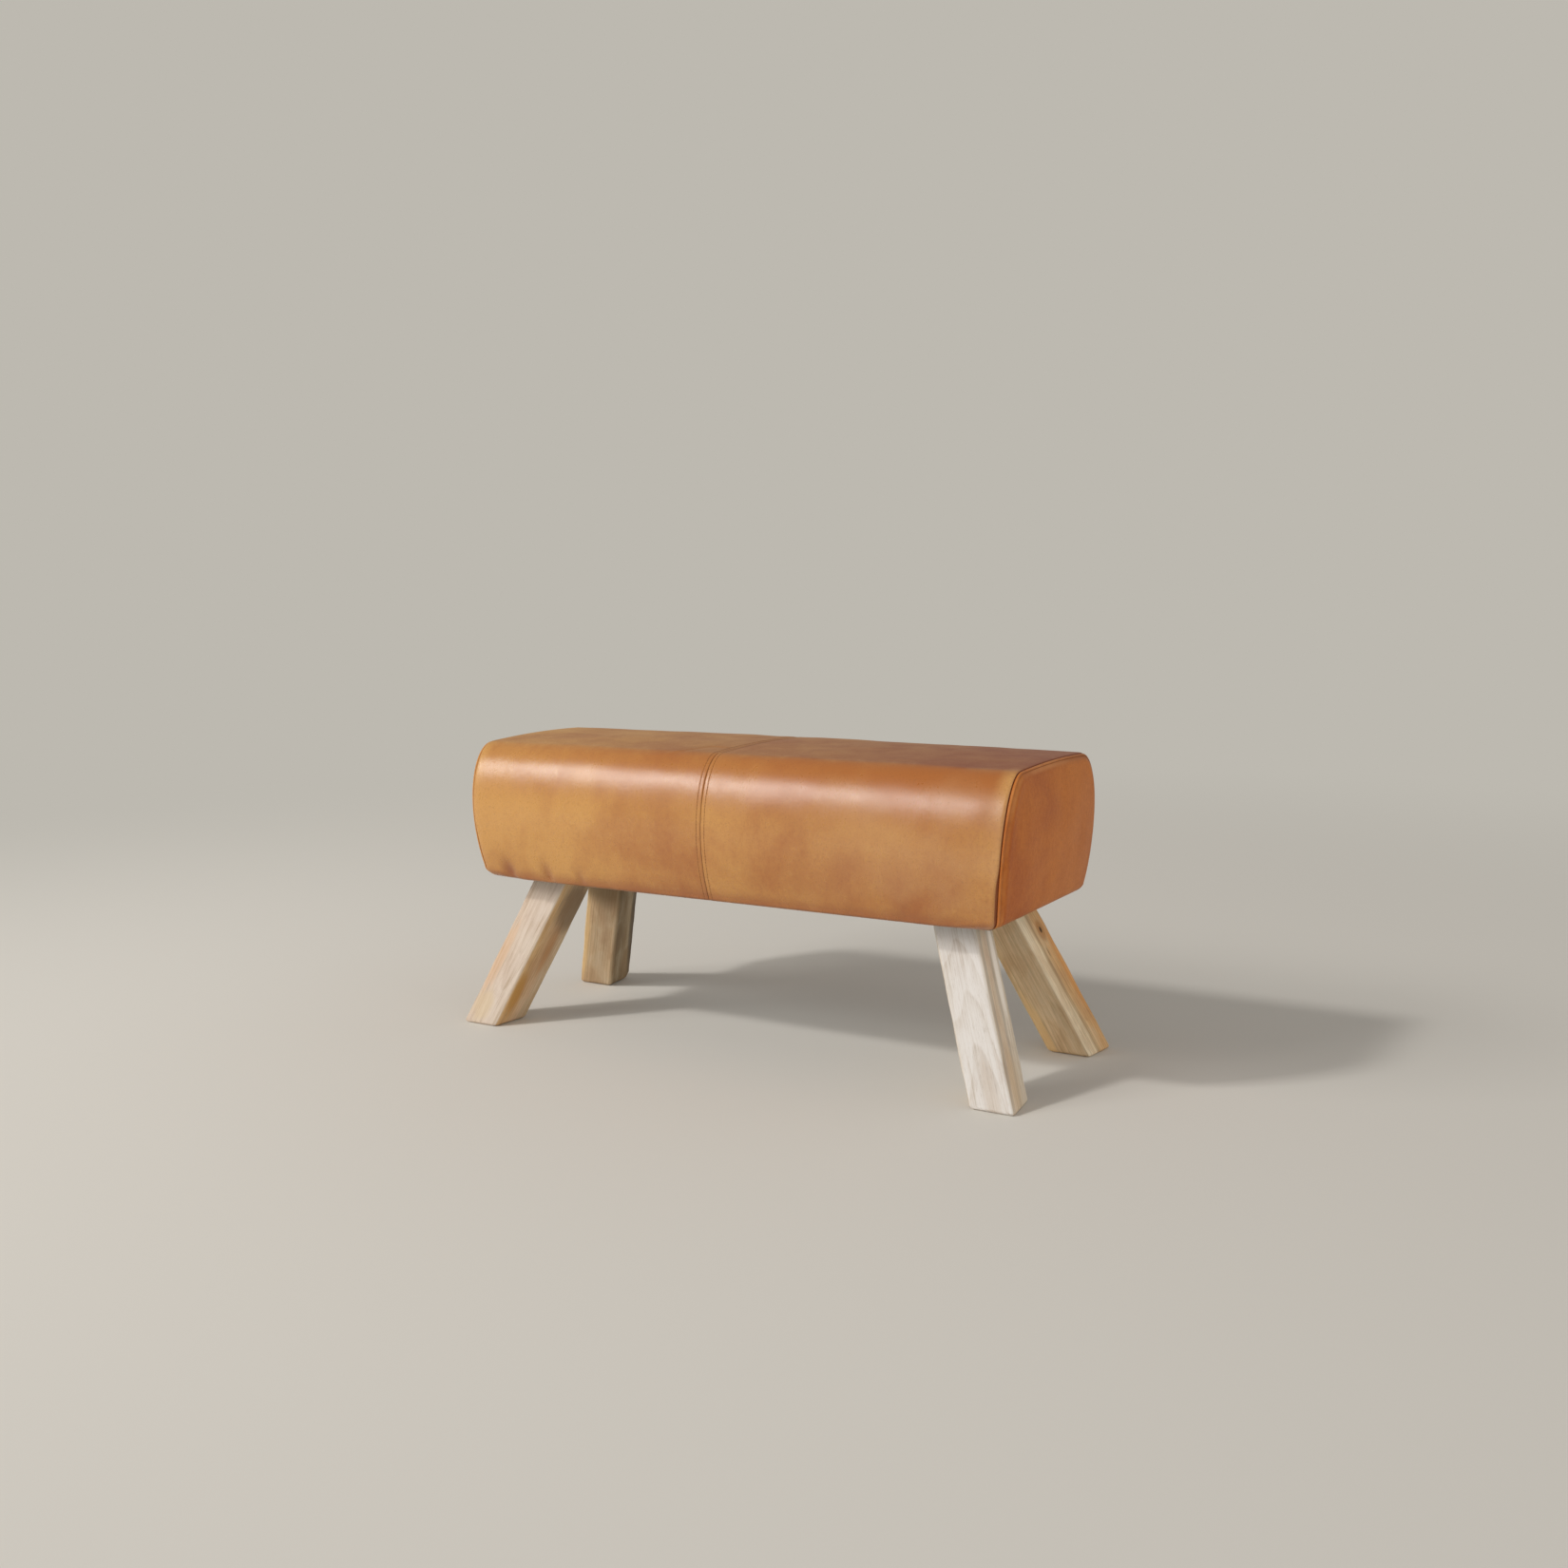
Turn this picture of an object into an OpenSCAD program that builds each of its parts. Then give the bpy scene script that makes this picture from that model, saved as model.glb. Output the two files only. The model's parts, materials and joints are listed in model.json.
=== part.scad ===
// Pommel bench: a long leather-covered seat on four square legs that splay both ways.
// X runs along the seat, Y across it and Z up. The origin is on the floor, under the seat's centre.

/* [Seat] */
// Length of the seat along its lower edge
seat_len = 913; // [800:1:1400]
// Width of the seat across its lower edges
seat_w = 306; // [270:1:400]
// Thickness of the seat at its long top edges
seat_h = 221; // [200:1:280]
// Height of the seat's underside above the floor
underside_h = 246; // [180:1:420]
// How far each end leans out from its lower edge up to the top
end_flare = 18.5; // [4:0.5:26]
// How far each long side swells out from its lower edge up to its fullest height
side_flare = 16; // [0:0.5:24]
// Extra swell of the long sides at mid-length
side_bow_depth = 3; // [0:0.5:8]
// Breadth of the rounded shoulders along the top's long edges
shoulder_w = 60; // [45:1:80]
// Height of the rounded shoulders, from the sides' fullest height up to the top
shoulder_h = 120; // [80:1:140]
// Crown of the top across the seat
top_crown = 3; // [0:0.5:14]
// Crown of the top along the seat
top_bow_height = 2; // [0:0.5:12]
// Radius of the lower edge, where the leather folds under
hem_r = 6; // [4:0.5:10]

/* [Leather] */
// Thickness of the leather
leather_t = 2; // [1.2:0.1:3]
// Width of the leather that is folded in under the seat
flange_w = 33; // [26:1:50]
// Place of the middle seam along the seat
seam_x = -18; // [-120:1:120]
// Depth of the dip along the middle seam
seam_dip = 2; // [0.5:0.25:4]
// Half width of that dip
seam_half_w = 9; // [6:0.5:14]
// Width of the tape behind the middle seam
tape_w = 24; // [16:1:36]
// Extra breadth of the foam's dip round that tape, on each side
tape_room = 2; // [1:0.5:4]
// Thickness of that tape
tape_t = 0.8; // [0.5:0.1:1.2]
// How far the leather is drawn in at the end seams
roll_depth = 4.5; // [2:0.5:7]
// Length over which it is drawn in
roll_len = 14; // [8:1:18]
// How far the end panel's rolled edge stands out from its seam
rim_h = 4; // [2:0.5:7]
// Width of that rolled edge
rim_w = 6; // [3:0.5:9]
// Crown of the end panels
panel_crown = 7; // [2:0.5:14]

/* [Frame] */
// Thickness of the foam on the sides, at the lower edge
side_foam_t = 15; // [12:1:28]
// Thickness of the foam on the ends, at the lower edge
end_foam_t = 18; // [14:1:30]
// Height of the seat foam's straight lip on the top board
foam_lip_h = 3; // [1:0.5:6]
// Thickness of the base board
base_t = 18; // [12:1:25]
// Thickness of the top board
deck_t = 12; // [9:1:18]
// Height of the rails
rail_h = 110; // [90:1:118]
// Thickness of the rails
rail_t = 22; // [18:1:30]
// Thickness of the end boards and the rib
board_t = 18; // [12:1:25]
// Thickness of the cleats over the legs
cleat_t = 40; // [25:1:50]
// How far a cleat reaches past the leg tops
cleat_margin = 10; // [6:1:20]
// Diameter of the frame's wood screws
wood_screw_d = 4.5; // [3.5:0.5:5]
// Length of the frame's wood screws
wood_screw_len = 45; // [35:1:50]
// Distance of the outer frame screws from the frame's ends
wood_screw_inset = 42; // [32:1:60]
// Thickness of the cloth under the seat
cover_t = 1; // [0.6:0.1:1.5]
// How far the cloth stays back from the seat's lower edge
cover_margin = 14; // [8:1:22]

/* [Legs] */
// Side of the square leg stock
leg_stock = 65; // [58:1:75]
// Lean of each leg along the seat, in degrees
splay_long = 22; // [8:0.5:26]
// Lean of each leg across the seat, in degrees
splay_cross = 19; // [8:0.5:24]
// Distance from the seat's lower end edge in to the leg tops
leg_end_inset = 56; // [52:1:140]
// Distance from the seat's lower long edge in to the leg tops
leg_side_inset = 53; // [45:1:65]
// Rounding of the legs' long edges
leg_edge_r = 3.5; // [1:0.5:8]
// Width of the bevel round the sole
sole_bevel = 5; // [1:0.5:9]
// Diameter of the coach screws
leg_screw_d = 8; // [6:1:10]
// How deep the coach screws go into the legs
leg_screw_depth = 60; // [40:1:80]
// Distance from a coach screw to the leg's face at the top
leg_screw_edge = 21; // [19:1:22]

/* [Fit] */
// Clearance between soft pieces
soft_gap = 0.3; // [0.2:0.05:0.6]
// Clearance round a screw in its hole
screw_gap = 0.1; // [0.05:0.05:0.3]
// Clearance between a cleat and the rails
cleat_gap = 0.5; // [0.2:0.1:2]
// Clearance between the cloth and the legs
cover_gap = 1.5; // [0.5:0.5:4]

/* [Hidden] */
$fn = 48;

// Counts of steps along each stretch of the soft forms
hem_steps = 3;
side_steps = 5;
shoulder_steps = 10;
crown_steps = 3;
roll_steps = 4;
dip_steps = 3;
span_steps = 4;

// How fast the crown fades out down the ends: the higher, the faster
crown_fade = 8;

// Heights, from the floor up
base_z = underside_h + leather_t;
frame_z = base_z + base_t;
deck_z = frame_z + rail_h;
foam_z = deck_z + deck_t;
seat_top = underside_h + seat_h;
shoulder_z = seat_top - shoulder_h;

// Half sizes of the frame, inside the foam, and half the breadth between its rails
frame_x = seat_len/2 - leather_t - end_foam_t;
frame_y = seat_w/2 - leather_t - side_foam_t;
bay_y = frame_y - rail_t;

// Half length at the top, where the end panels' seams are the farthest apart
full_x = seat_len/2 + end_flare;
wrap_end = full_x - leather_t - soft_gap;

// Leg: slopes, the stock's widths on a level cut, and the way its side faces run on that cut
slope_x = tan(splay_long);
slope_y = tan(splay_cross);
roll_angle = atan(slope_x*cos(splay_cross));
cut_y = leg_stock*sqrt(1 + slope_y*slope_y);
cut_x = leg_stock*sqrt(1 + slope_x*slope_x + slope_y*slope_y)/sqrt(1 + slope_y*slope_y);
skew = slope_x*slope_y/(1 + slope_y*slope_y);
sole_x = seat_len/2 - leg_end_inset + slope_x*underside_h - cut_x/2 - skew*cut_y/2;
sole_y = seat_w/2 - leg_side_inset + slope_y*underside_h - cut_y/2;
top_x = sole_x - slope_x*base_z;
top_y = sole_y - slope_y*base_z;

// Coach screws: two side by side in each leg, halfway between its middle at the top and at their tips
screw_x = top_x + slope_x*leg_screw_depth/2;
screw_y = top_y + slope_y*leg_screw_depth/2;
screw_pitch = cut_y - 2*leg_screw_edge;
LEG_SCREWS = [
    for (sx = [-1, 1], sy = [-1, 1], k = [-1/2, 1/2])
    [sx*screw_x, sy*(screw_y + k*screw_pitch)]
];
washer_d = 2*leg_screw_d;
washer_t = 0.2*leg_screw_d;
head_h = 0.68*leg_screw_d;
head_d = 1.83*leg_screw_d;

// Wood screws: five along each rail, two in each end board and two in the rib
rail_screw_step = (frame_x - wood_screw_inset)/2;
rail_screw_y = frame_y - rail_t/2;
WOOD_SCREWS = concat(
    [for (k = [-2:2], sy = [-1, 1]) [k*rail_screw_step, sy*rail_screw_y]],
    [for (x = [-frame_x + board_t/2, 0, frame_x - board_t/2], sy = [-1, 1]) [x, sy*bay_y/2]]
);
sink_h = 0.55*wood_screw_d;

// Curves of the soft body. All of them share these, so that leather, tape and foam follow each other.

// Runs from 0 at t = 0 to 1 at t = 1 and levels out there
function level_out(t) = 1 - pow(1 - min(max(t, 0), 1), 2);

// Half length of the seat at height z
function reach(z) = seat_len/2 + end_flare*level_out((z - underside_h)/seat_h);

// How much of the bow is left at x
function bow(x) = 1 - pow(x/full_x, 2);

// How far the skin is drawn in at x, by the end seams and the middle seam
function drawn_in(x) =
    let (
        e = min(max((abs(x) - full_x + roll_len)/roll_len, 0), 1),
        m = max(1 - abs(x - seam_x)/seam_half_w, 0)
    )
    roll_depth*(1 - sqrt(1 - e*e)) + seam_dip*m*m;

// How far the long sides swell out at x, at their fullest height
function swell_out(x) = side_flare + side_bow_depth*bow(x);

// Half width of the nearly flat part of the top at x
function flat_w(x) = seat_w/2 + swell_out(x) - shoulder_w;

// Height of the shoulders at x, a distance inset below the surface
function shoulder_rise(x, inset) = shoulder_h - inset + top_bow_height*bow(x);

// Half width of the skin at x and height z, a distance inset below its surface
function half_w(x, z, inset) =
    let (
        low = level_out((z - underside_h)/(shoulder_z - underside_h)),
        up = min(max((z - shoulder_z)/shoulder_rise(x, inset), 0), 1)
    )
    z < shoulder_z
        ? seat_w/2 + swell_out(x)*low - inset
        : flat_w(x) + (shoulder_w - inset)*sqrt(1 - up*up);

// Height of the skin over the top at x, t running from 0 at the shoulder to 1 in the middle
function top_at(x, t, inset) = shoulder_z + shoulder_rise(x, inset) + top_crown*level_out(t);

// The rolled lower edge at x: three steps round it, as [y, z, half length]
function hem(x, inset, pull) = [
    for (k = [0:hem_steps])
    let (a = 90*k/hem_steps)
    [
        half_w(x, underside_h + hem_r, 0) - hem_r + (hem_r - inset - pull)*sin(a),
        underside_h + hem_r - (hem_r - inset)*cos(a),
        reach(underside_h + hem_r) - hem_r*(1 - sin(a))
    ]
];

// Half of the seat's outline at x, from the folded flange to the shoulder's top, as [y, z, half length]
function outline(x, inset, pull) = concat(
    [[seat_w/2 - flange_w, underside_h + inset, seat_len/2 - flange_w]],
    hem(x, inset, pull),
    [
        for (k = [1:side_steps])
        let (z = underside_h + hem_r + (shoulder_z - underside_h - hem_r)*k/side_steps)
        [half_w(x, z, inset + pull), z, reach(z)]
    ],
    [
        for (k = [1:shoulder_steps])
        let (
            a = 90*k/shoulder_steps,
            z = shoulder_z + shoulder_rise(x, inset + pull)*sin(a)
        )
        [flat_w(x) + (shoulder_w - inset - pull)*cos(a), z, reach(z)]
    ]
);

// The rest of the outline, over the top to just short of its middle
function crown(x, inset, pull) = [
    for (k = [1:crown_steps])
    let (t = k/crown_steps)
    [flat_w(x)*(1 - t), top_at(x, t, inset + pull), full_x]
];

// The whole outline at x, from the front flange over the top to the back flange, as points.
// Each point's x is drawn in with the half length at its height.
function skin_row(x, inset) =
    let (
        half = concat(outline(x, inset, drawn_in(x)), crown(x, inset, drawn_in(x))),
        n = len(half)
    )
    concat(
        [for (k = [0:n - 1]) [x*half[k][2]/full_x, -half[k][0], half[k][1]]],
        [for (k = [n - 2:-1:0]) [x*half[k][2]/full_x, half[k][0], half[k][1]]]
    );

// Share of the way from value a to value b, in n steps
function steps(a, b, n) = [for (k = [0:n]) a + (b - a)*k/n];

// Places along a wrap: close together at the seam's dip and the end's roll
function wrap_places(side) =
    let (
        start = seam_x + side*soft_gap/2,
        dip_end = seam_x + side*seam_half_w,
        roll_start = side*(full_x - roll_len),
        end_share = (wrap_end - full_x + roll_len)/roll_len
    )
    concat(
        steps(start, dip_end, dip_steps),
        [for (k = [1:span_steps]) dip_end + (roll_start - dip_end)*k/span_steps],
        [for (k = [1:roll_steps]) roll_start + side*roll_len*end_share*sin(90*k/roll_steps)]
    );

// A solid between two grids of points: outer and inner have as many rows, and as many points a row.
// flip turns the faces round where the rows run the other way.
module between(outer, inner, flip = false) {
    rows = len(outer);
    cols = len(outer[0]);
    count = rows*cols;
    points = concat([for (row = outer) each row], [for (row = inner) each row]);
    function at(i, j) = i*cols + j;
    // Two triangles on four corners
    function pair(a, b, c, d) = [[a, b, c], [a, c, d]];
    sheets = [
        for (i = [0:rows - 2], j = [0:cols - 2])
        each concat(
            pair(at(i, j), at(i, j + 1), at(i + 1, j + 1), at(i + 1, j)),
            pair(count + at(i, j), count + at(i + 1, j), count + at(i + 1, j + 1), count + at(i, j + 1))
        )
    ];
    sides = [
        for (i = [0:rows - 2])
        each concat(
            pair(at(i, 0), at(i + 1, 0), count + at(i + 1, 0), count + at(i, 0)),
            pair(at(i + 1, cols - 1), at(i, cols - 1), count + at(i, cols - 1), count + at(i + 1, cols - 1))
        )
    ];
    ends = [
        for (j = [0:cols - 2])
        each concat(
            pair(at(0, j + 1), at(0, j), count + at(0, j), count + at(0, j + 1)),
            pair(at(rows - 1, j), at(rows - 1, j + 1), count + at(rows - 1, j + 1), count + at(rows - 1, j))
        )
    ];
    faces = concat(sheets, sides, ends);
    polyhedron(points, flip ? [for (f = faces) [f[2], f[1], f[0]]] : faces, convexity = 10);
}

// One hide, from the middle seam (side -1 to the left, 1 to the right) to its end seam
module wrap(side) {
    places = wrap_places(side);
    between(
        [for (x = places) skin_row(x, 0)],
        [for (x = places) skin_row(x, leather_t)],
        flip = side < 0
    );
}

// How far the end panel stands out from its seam, d in from its edge
function rim(d) = rim_h*sqrt(1 - pow(1 - min(max(d/rim_w, 0), 1), 2));

// Distance in from the panel's edge, at half breadth y and height z. In the shoulder, where the edge
// is a quarter of an ellipse, it is the share of the ellipse's size that is left, over that share's slope.
function from_edge(y, z) =
    let (
        a = shoulder_w - roll_depth,
        b = shoulder_h - roll_depth,
        u = (y - flat_w(full_x))/a,
        v = (z - shoulder_z)/b,
        share = norm([u, v])
    )
    z < shoulder_z
        ? half_w(full_x, z, roll_depth) - y
        : u > 0 ? (1 - share)*share/norm([u/a, v/b]) : b*(1 - v);

// How far the middle of the end panel swells out
function swell(y, z) =
    let (
        across = y/half_w(full_x, shoulder_z, 0),
        up = 2*(z - underside_h)/seat_h - 1
    )
    panel_crown*max(1 - pow(across, 4), 0)*max(1 - pow(up, 4), 0);

// Places across a panel and across its foam, as [share of the half width, distance in from the edge]
FOAM_ACROSS = [for (share = [-1, -0.82, -0.6, -0.3, 0, 0.3, 0.6, 0.82, 1]) [share, 0]];
PANEL_ACROSS = concat(
    [[-1, 0], [-1, rim_w/6], [-1, rim_w/2], [-1, rim_w]],
    [for (k = [1:len(FOAM_ACROSS) - 2]) FOAM_ACROSS[k]],
    [[1, rim_w], [1, rim_w/2], [1, rim_w/6], [1, 0]]
);

// One end of the seat as rows of points from the flange up, a distance inset in from its surface, with
// points at the places across. pull draws its edge in and first leaves out the lowest rows.
// backed lays the rows on the plane x = backed.
function end_rows(across, inset, pull, first, backed) =
    let (half = outline(full_x, 0, pull))
    [
        for (i = [first:len(half) - 1])
        let (
            w = half[i][0] - soft_gap,
            a = i == 0 ? 0 : min(90*(i - 1)/hem_steps, 90),
            up = max((half[i][1] - shoulder_z)/shoulder_rise(full_x, pull), 0),
            lift = top_crown*pow(up, crown_fade)
        )
        [
            for (p = across)
            let (
                y = p[0]*w - sign(p[0])*p[1],
                z = half[i][1] + lift*level_out(1 - abs(y)/w),
                out = rim(from_edge(abs(y), half[i][1])) + swell(y, z)
            )
            is_undef(backed)
                ? [half[i][2] + (out - inset)*sin(a), y, z + inset*cos(a)]
                : [backed, y, z]
        ]
    ];

// The leather end panel on the right, with its part of the flange
module end_panel_right() {
    between(
        end_rows(PANEL_ACROSS, 0, roll_depth, 0),
        end_rows(PANEL_ACROSS, leather_t, roll_depth, 0),
        flip = true
    );
}

// Foam on the right end of the frame, up to the top of the seat
module end_foam_right() {
    under = leather_t + 3*soft_gap;
    pull = roll_depth + under;
    first = 1 + hem_steps;
    between(
        end_rows(FOAM_ACROSS, under, pull, first),
        end_rows(FOAM_ACROSS, under, pull, first, frame_x),
        flip = true
    );
}

// Half breadths of the foam's dip behind the tape: of its floor and with its slopes
dip_floor = tape_w/2 + tape_room/2;
dip_half = tape_w/2 + 2*tape_room;

// How far the foam stays below the skin at x: more behind the tape
function foam_inset(x) =
    leather_t + 2*soft_gap + drawn_in(x) + (abs(x - seam_x) < dip_half ? tape_t + soft_gap : 0);

// Places along the long foams: close together at the middle seam
FOAM_PLACES = concat(
    steps(-frame_x, seam_x - dip_half, 3),
    [seam_x - dip_floor, seam_x, seam_x + dip_floor],
    steps(seam_x + dip_half, frame_x, 3)
);

// Foam on the back rail, between the frame and the leather
module side_foam_back() {
    low = base_z + soft_gap;
    high = foam_z - soft_gap;
    heights = steps(low + hem_r, high, side_steps);
    between(
        [for (x = FOAM_PLACES) concat(
            [[x, frame_y + side_foam_t - hem_r, low]],
            [for (z = heights) [x, half_w(x, z, foam_inset(x)), z]]
        )],
        [for (x = FOAM_PLACES) concat(
            [[x, frame_y, low]],
            [for (z = heights) [x, frame_y, z]]
        )],
        flip = true
    );
}

// One row of the seat foam at x: its rounded sides and crown, or the deck below them
function seat_foam_row(x, on_deck) =
    let (
        inset = foam_inset(x),
        lip_z = foam_z + foam_lip_h,
        rise = top_at(x, 0, inset) - lip_z,
        heights = [for (k = [0:shoulder_steps]) lip_z + rise*sin(90*k/shoulder_steps)],
        half = concat(
            [for (z = heights) [half_w(x, z, inset), z]],
            [for (k = [1:crown_steps]) [flat_w(x)*(1 - k/crown_steps), top_at(x, k/crown_steps, inset)]]
        ),
        n = len(half)
    )
    concat(
        [for (k = [0:n - 1]) [x, -half[k][0], on_deck ? foam_z : half[k][1]]],
        [for (k = [n - 2:-1:0]) [x, half[k][0], on_deck ? foam_z : half[k][1]]]
    );

module leather() { color("#b5713a") children(); }
module foam() { color("#e9dfae") children(); }
module plywood() { color("#d9bd8b") children(); }
module softwood() { color("#dfc592") children(); }
module steel() { color("#a9adb1") children(); }

module left_wrap() { leather() wrap(-1); }
module right_wrap() { leather() wrap(1); }
module right_end_panel() { leather() end_panel_right(); }
module left_end_panel() { leather() mirror([1, 0, 0]) end_panel_right(); }

module top_foam() {
    foam() between(
        [for (x = FOAM_PLACES) seat_foam_row(x, false)],
        [for (x = FOAM_PLACES) seat_foam_row(x, true)]
    );
}
module back_foam() { foam() side_foam_back(); }
module front_foam() { foam() mirror([0, 1, 0]) side_foam_back(); }
module right_end_foam() { foam() end_foam_right(); }
module left_end_foam() { foam() mirror([1, 0, 0]) end_foam_right(); }

// Tape behind the middle seam, from one lower edge over the top to the other
module seam_tape() {
    under = leather_t + soft_gap/2;
    ends = 1 + hem_steps;
    function strip(x, inset) =
        let (row = skin_row(x, inset))
        [for (k = [ends:len(row) - 1 - ends]) row[k]];
    places = steps(seam_x - tape_w/2, seam_x + tape_w/2, 2);
    color("#2b2622") between(
        [for (x = places) strip(x, under)],
        [for (x = places) strip(x, under + tape_t)]
    );
}

// Countersunk wood screw, its head flush at height 0
module wood_screw() {
    r = wood_screw_d/2;
    rotate_extrude()
        polygon([[0, 0], [2*r, 0], [r, -sink_h], [r, -wood_screw_len + 2*r], [0, -wood_screw_len]]);
}

// Hole for a wood screw: its own shape with a clearance, open above height 0
module screw_hole() {
    r = wood_screw_d/2 + screw_gap;
    end = -wood_screw_len - screw_gap;
    rotate_extrude()
        polygon([[0, 1], [2*r, 1], [2*r, 0], [r, -sink_h - screw_gap], [r, end], [0, end]]);
}

// Copies of a screw or its hole at each place, heads up on the deck or down on the base board
module on_deck() {
    for (p = WOOD_SCREWS) translate([p[0], p[1], foam_z]) children();
}
module under_base() {
    for (p = WOOD_SCREWS) translate([p[0], p[1], base_z]) mirror([0, 0, 1]) children();
}

module top_board_screws() { steel() on_deck() wood_screw(); }
module base_board_screws() { steel() under_base() wood_screw(); }

// Holes for the coach screws, from height low to height high
module leg_screw_holes(low, high) {
    for (p = LEG_SCREWS) translate([p[0], p[1], low])
        cylinder(d = leg_screw_d + 2*screw_gap, h = high - low);
}

module base_board() {
    plywood() difference() {
        translate([-frame_x, -frame_y, base_z]) cube([2*frame_x, 2*frame_y, base_t]);
        leg_screw_holes(base_z - 1, frame_z + 1);
        under_base() screw_hole();
    }
}

module top_board() {
    plywood() difference() {
        translate([-frame_x, -frame_y, deck_z]) cube([2*frame_x, 2*frame_y, deck_t]);
        on_deck() screw_hole();
    }
}

module rail_back() {
    softwood() difference() {
        translate([-frame_x, bay_y, frame_z]) cube([2*frame_x, rail_t, rail_h]);
        on_deck() screw_hole();
        under_base() screw_hole();
    }
}
module back_rail() { rail_back(); }
module front_rail() { mirror([0, 1, 0]) rail_back(); }

// A board across the frame between the rails, centred at x
module cross_board(x) {
    softwood() difference() {
        translate([x - board_t/2, -bay_y, frame_z]) cube([board_t, 2*bay_y, rail_h]);
        on_deck() screw_hole();
        under_base() screw_hole();
    }
}
module right_end_board() { cross_board(frame_x - board_t/2); }
module left_end_board() { cross_board(-frame_x + board_t/2); }
module centre_rib() { cross_board(0); }

// Hardwood block over a pair of legs
module leg_cleat(side) {
    w = cut_x + skew*cut_y + 2*cleat_margin;
    d = 2*(bay_y - cleat_gap);
    color("#b98d57") difference() {
        translate([side*top_x - w/2, -d/2, frame_z]) cube([w, d, cleat_t]);
        leg_screw_holes(frame_z - 1, frame_z + cleat_t + 1);
    }
}
module right_leg_cleat() { leg_cleat(1); }
module left_leg_cleat() { leg_cleat(-1); }

module leg_washers() {
    steel() for (p = LEG_SCREWS) translate([p[0], p[1], frame_z + cleat_t])
        difference() {
            cylinder(d = washer_d, h = washer_t);
            translate([0, 0, -1]) cylinder(d = leg_screw_d + 4*screw_gap, h = washer_t + 2);
        }
}

module leg_screws() {
    seat_z = frame_z + cleat_t + washer_t;
    tip_z = base_z - leg_screw_depth;
    steel() for (p = LEG_SCREWS) translate([p[0], p[1], 0]) {
        translate([0, 0, tip_z]) cylinder(d = leg_screw_d, h = seat_z - tip_z);
        translate([0, 0, seat_z]) cylinder(d = head_d, h = head_h, $fn = 6);
    }
}

// Square leg stock with rounded long edges, grown by more on every side
module stock(more) {
    half = leg_stock/2 + more - leg_edge_r;
    turns = [0, 30, 60, 90];
    linear_extrude(4*underside_h, center = true)
        polygon([
            for (q = [0:3], a = turns)
            let (c = [[1, 1], [-1, 1], [-1, -1], [1, -1]][q])
            half*c + leg_edge_r*[cos(a + 90*q), sin(a + 90*q)]
        ]);
}

// The back right leg's stock, leaning out from the seat to its sole
module leaning_stock(more) {
    translate([sole_x, sole_y, 0])
        rotate([splay_cross, 0, 0])
            rotate([0, -roll_angle, 0])
                stock(more);
}

// A wedge outside the bevel along one edge of the sole: the edge's middle and its outward direction
module bevel_cut(x, y, out) {
    size = 2*leg_stock;
    translate([sole_x + x, sole_y + y, sole_bevel])
        rotate([0, 0, out - 90])
            rotate([-45, 0, 0])
                translate([-size, 0, -size]) cube([2*size, size, 2*size]);
}

module leg_back_right_solid() {
    side_out = atan(skew);
    difference() {
        intersection() {
            leaning_stock(0);
            cube([seat_len, seat_len, base_z]);
        }
        bevel_cut(skew*cut_y/2, cut_y/2, 90);
        bevel_cut(-skew*cut_y/2, -cut_y/2, -90);
        bevel_cut(cut_x/2, 0, -side_out);
        bevel_cut(-cut_x/2, 0, 180 - side_out);
        leg_screw_holes(base_z - leg_screw_depth - screw_gap, base_z + 1);
    }
}

module leg_back_right() { color("#b9a98d") leg_back_right_solid(); }
module leg_back_left() { color("#a8967a") mirror([1, 0, 0]) leg_back_right_solid(); }
module leg_front_right() { color("#c9bfae") mirror([0, 1, 0]) leg_back_right_solid(); }
module leg_front_left() { color("#c3b299") mirror([1, 0, 0]) mirror([0, 1, 0]) leg_back_right_solid(); }

// Black cloth stretched under the seat and cut round the legs
module dust_cover() {
    x = seat_len/2 - cover_margin;
    y = seat_w/2 - cover_margin;
    color("#1d1d1e") difference() {
        translate([-x, -y, underside_h - cover_t]) cube([2*x, 2*y, cover_t]);
        for (sx = [0, 1], sy = [0, 1]) mirror([sx, 0, 0]) mirror([0, sy, 0])
            leaning_stock(cover_gap);
    }
}

leg_front_left();
leg_front_right();
leg_back_left();
leg_back_right();
leg_screws();
leg_washers();
left_leg_cleat();
right_leg_cleat();
base_board();
front_rail();
back_rail();
left_end_board();
right_end_board();
centre_rib();
top_board();
top_board_screws();
base_board_screws();
top_foam();
front_foam();
back_foam();
left_end_foam();
right_end_foam();
left_wrap();
right_wrap();
left_end_panel();
right_end_panel();
seam_tape();
dust_cover();
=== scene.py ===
import json
import math

import bmesh
import bpy
from mathutils import Euler, Matrix, Vector, noise


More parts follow.
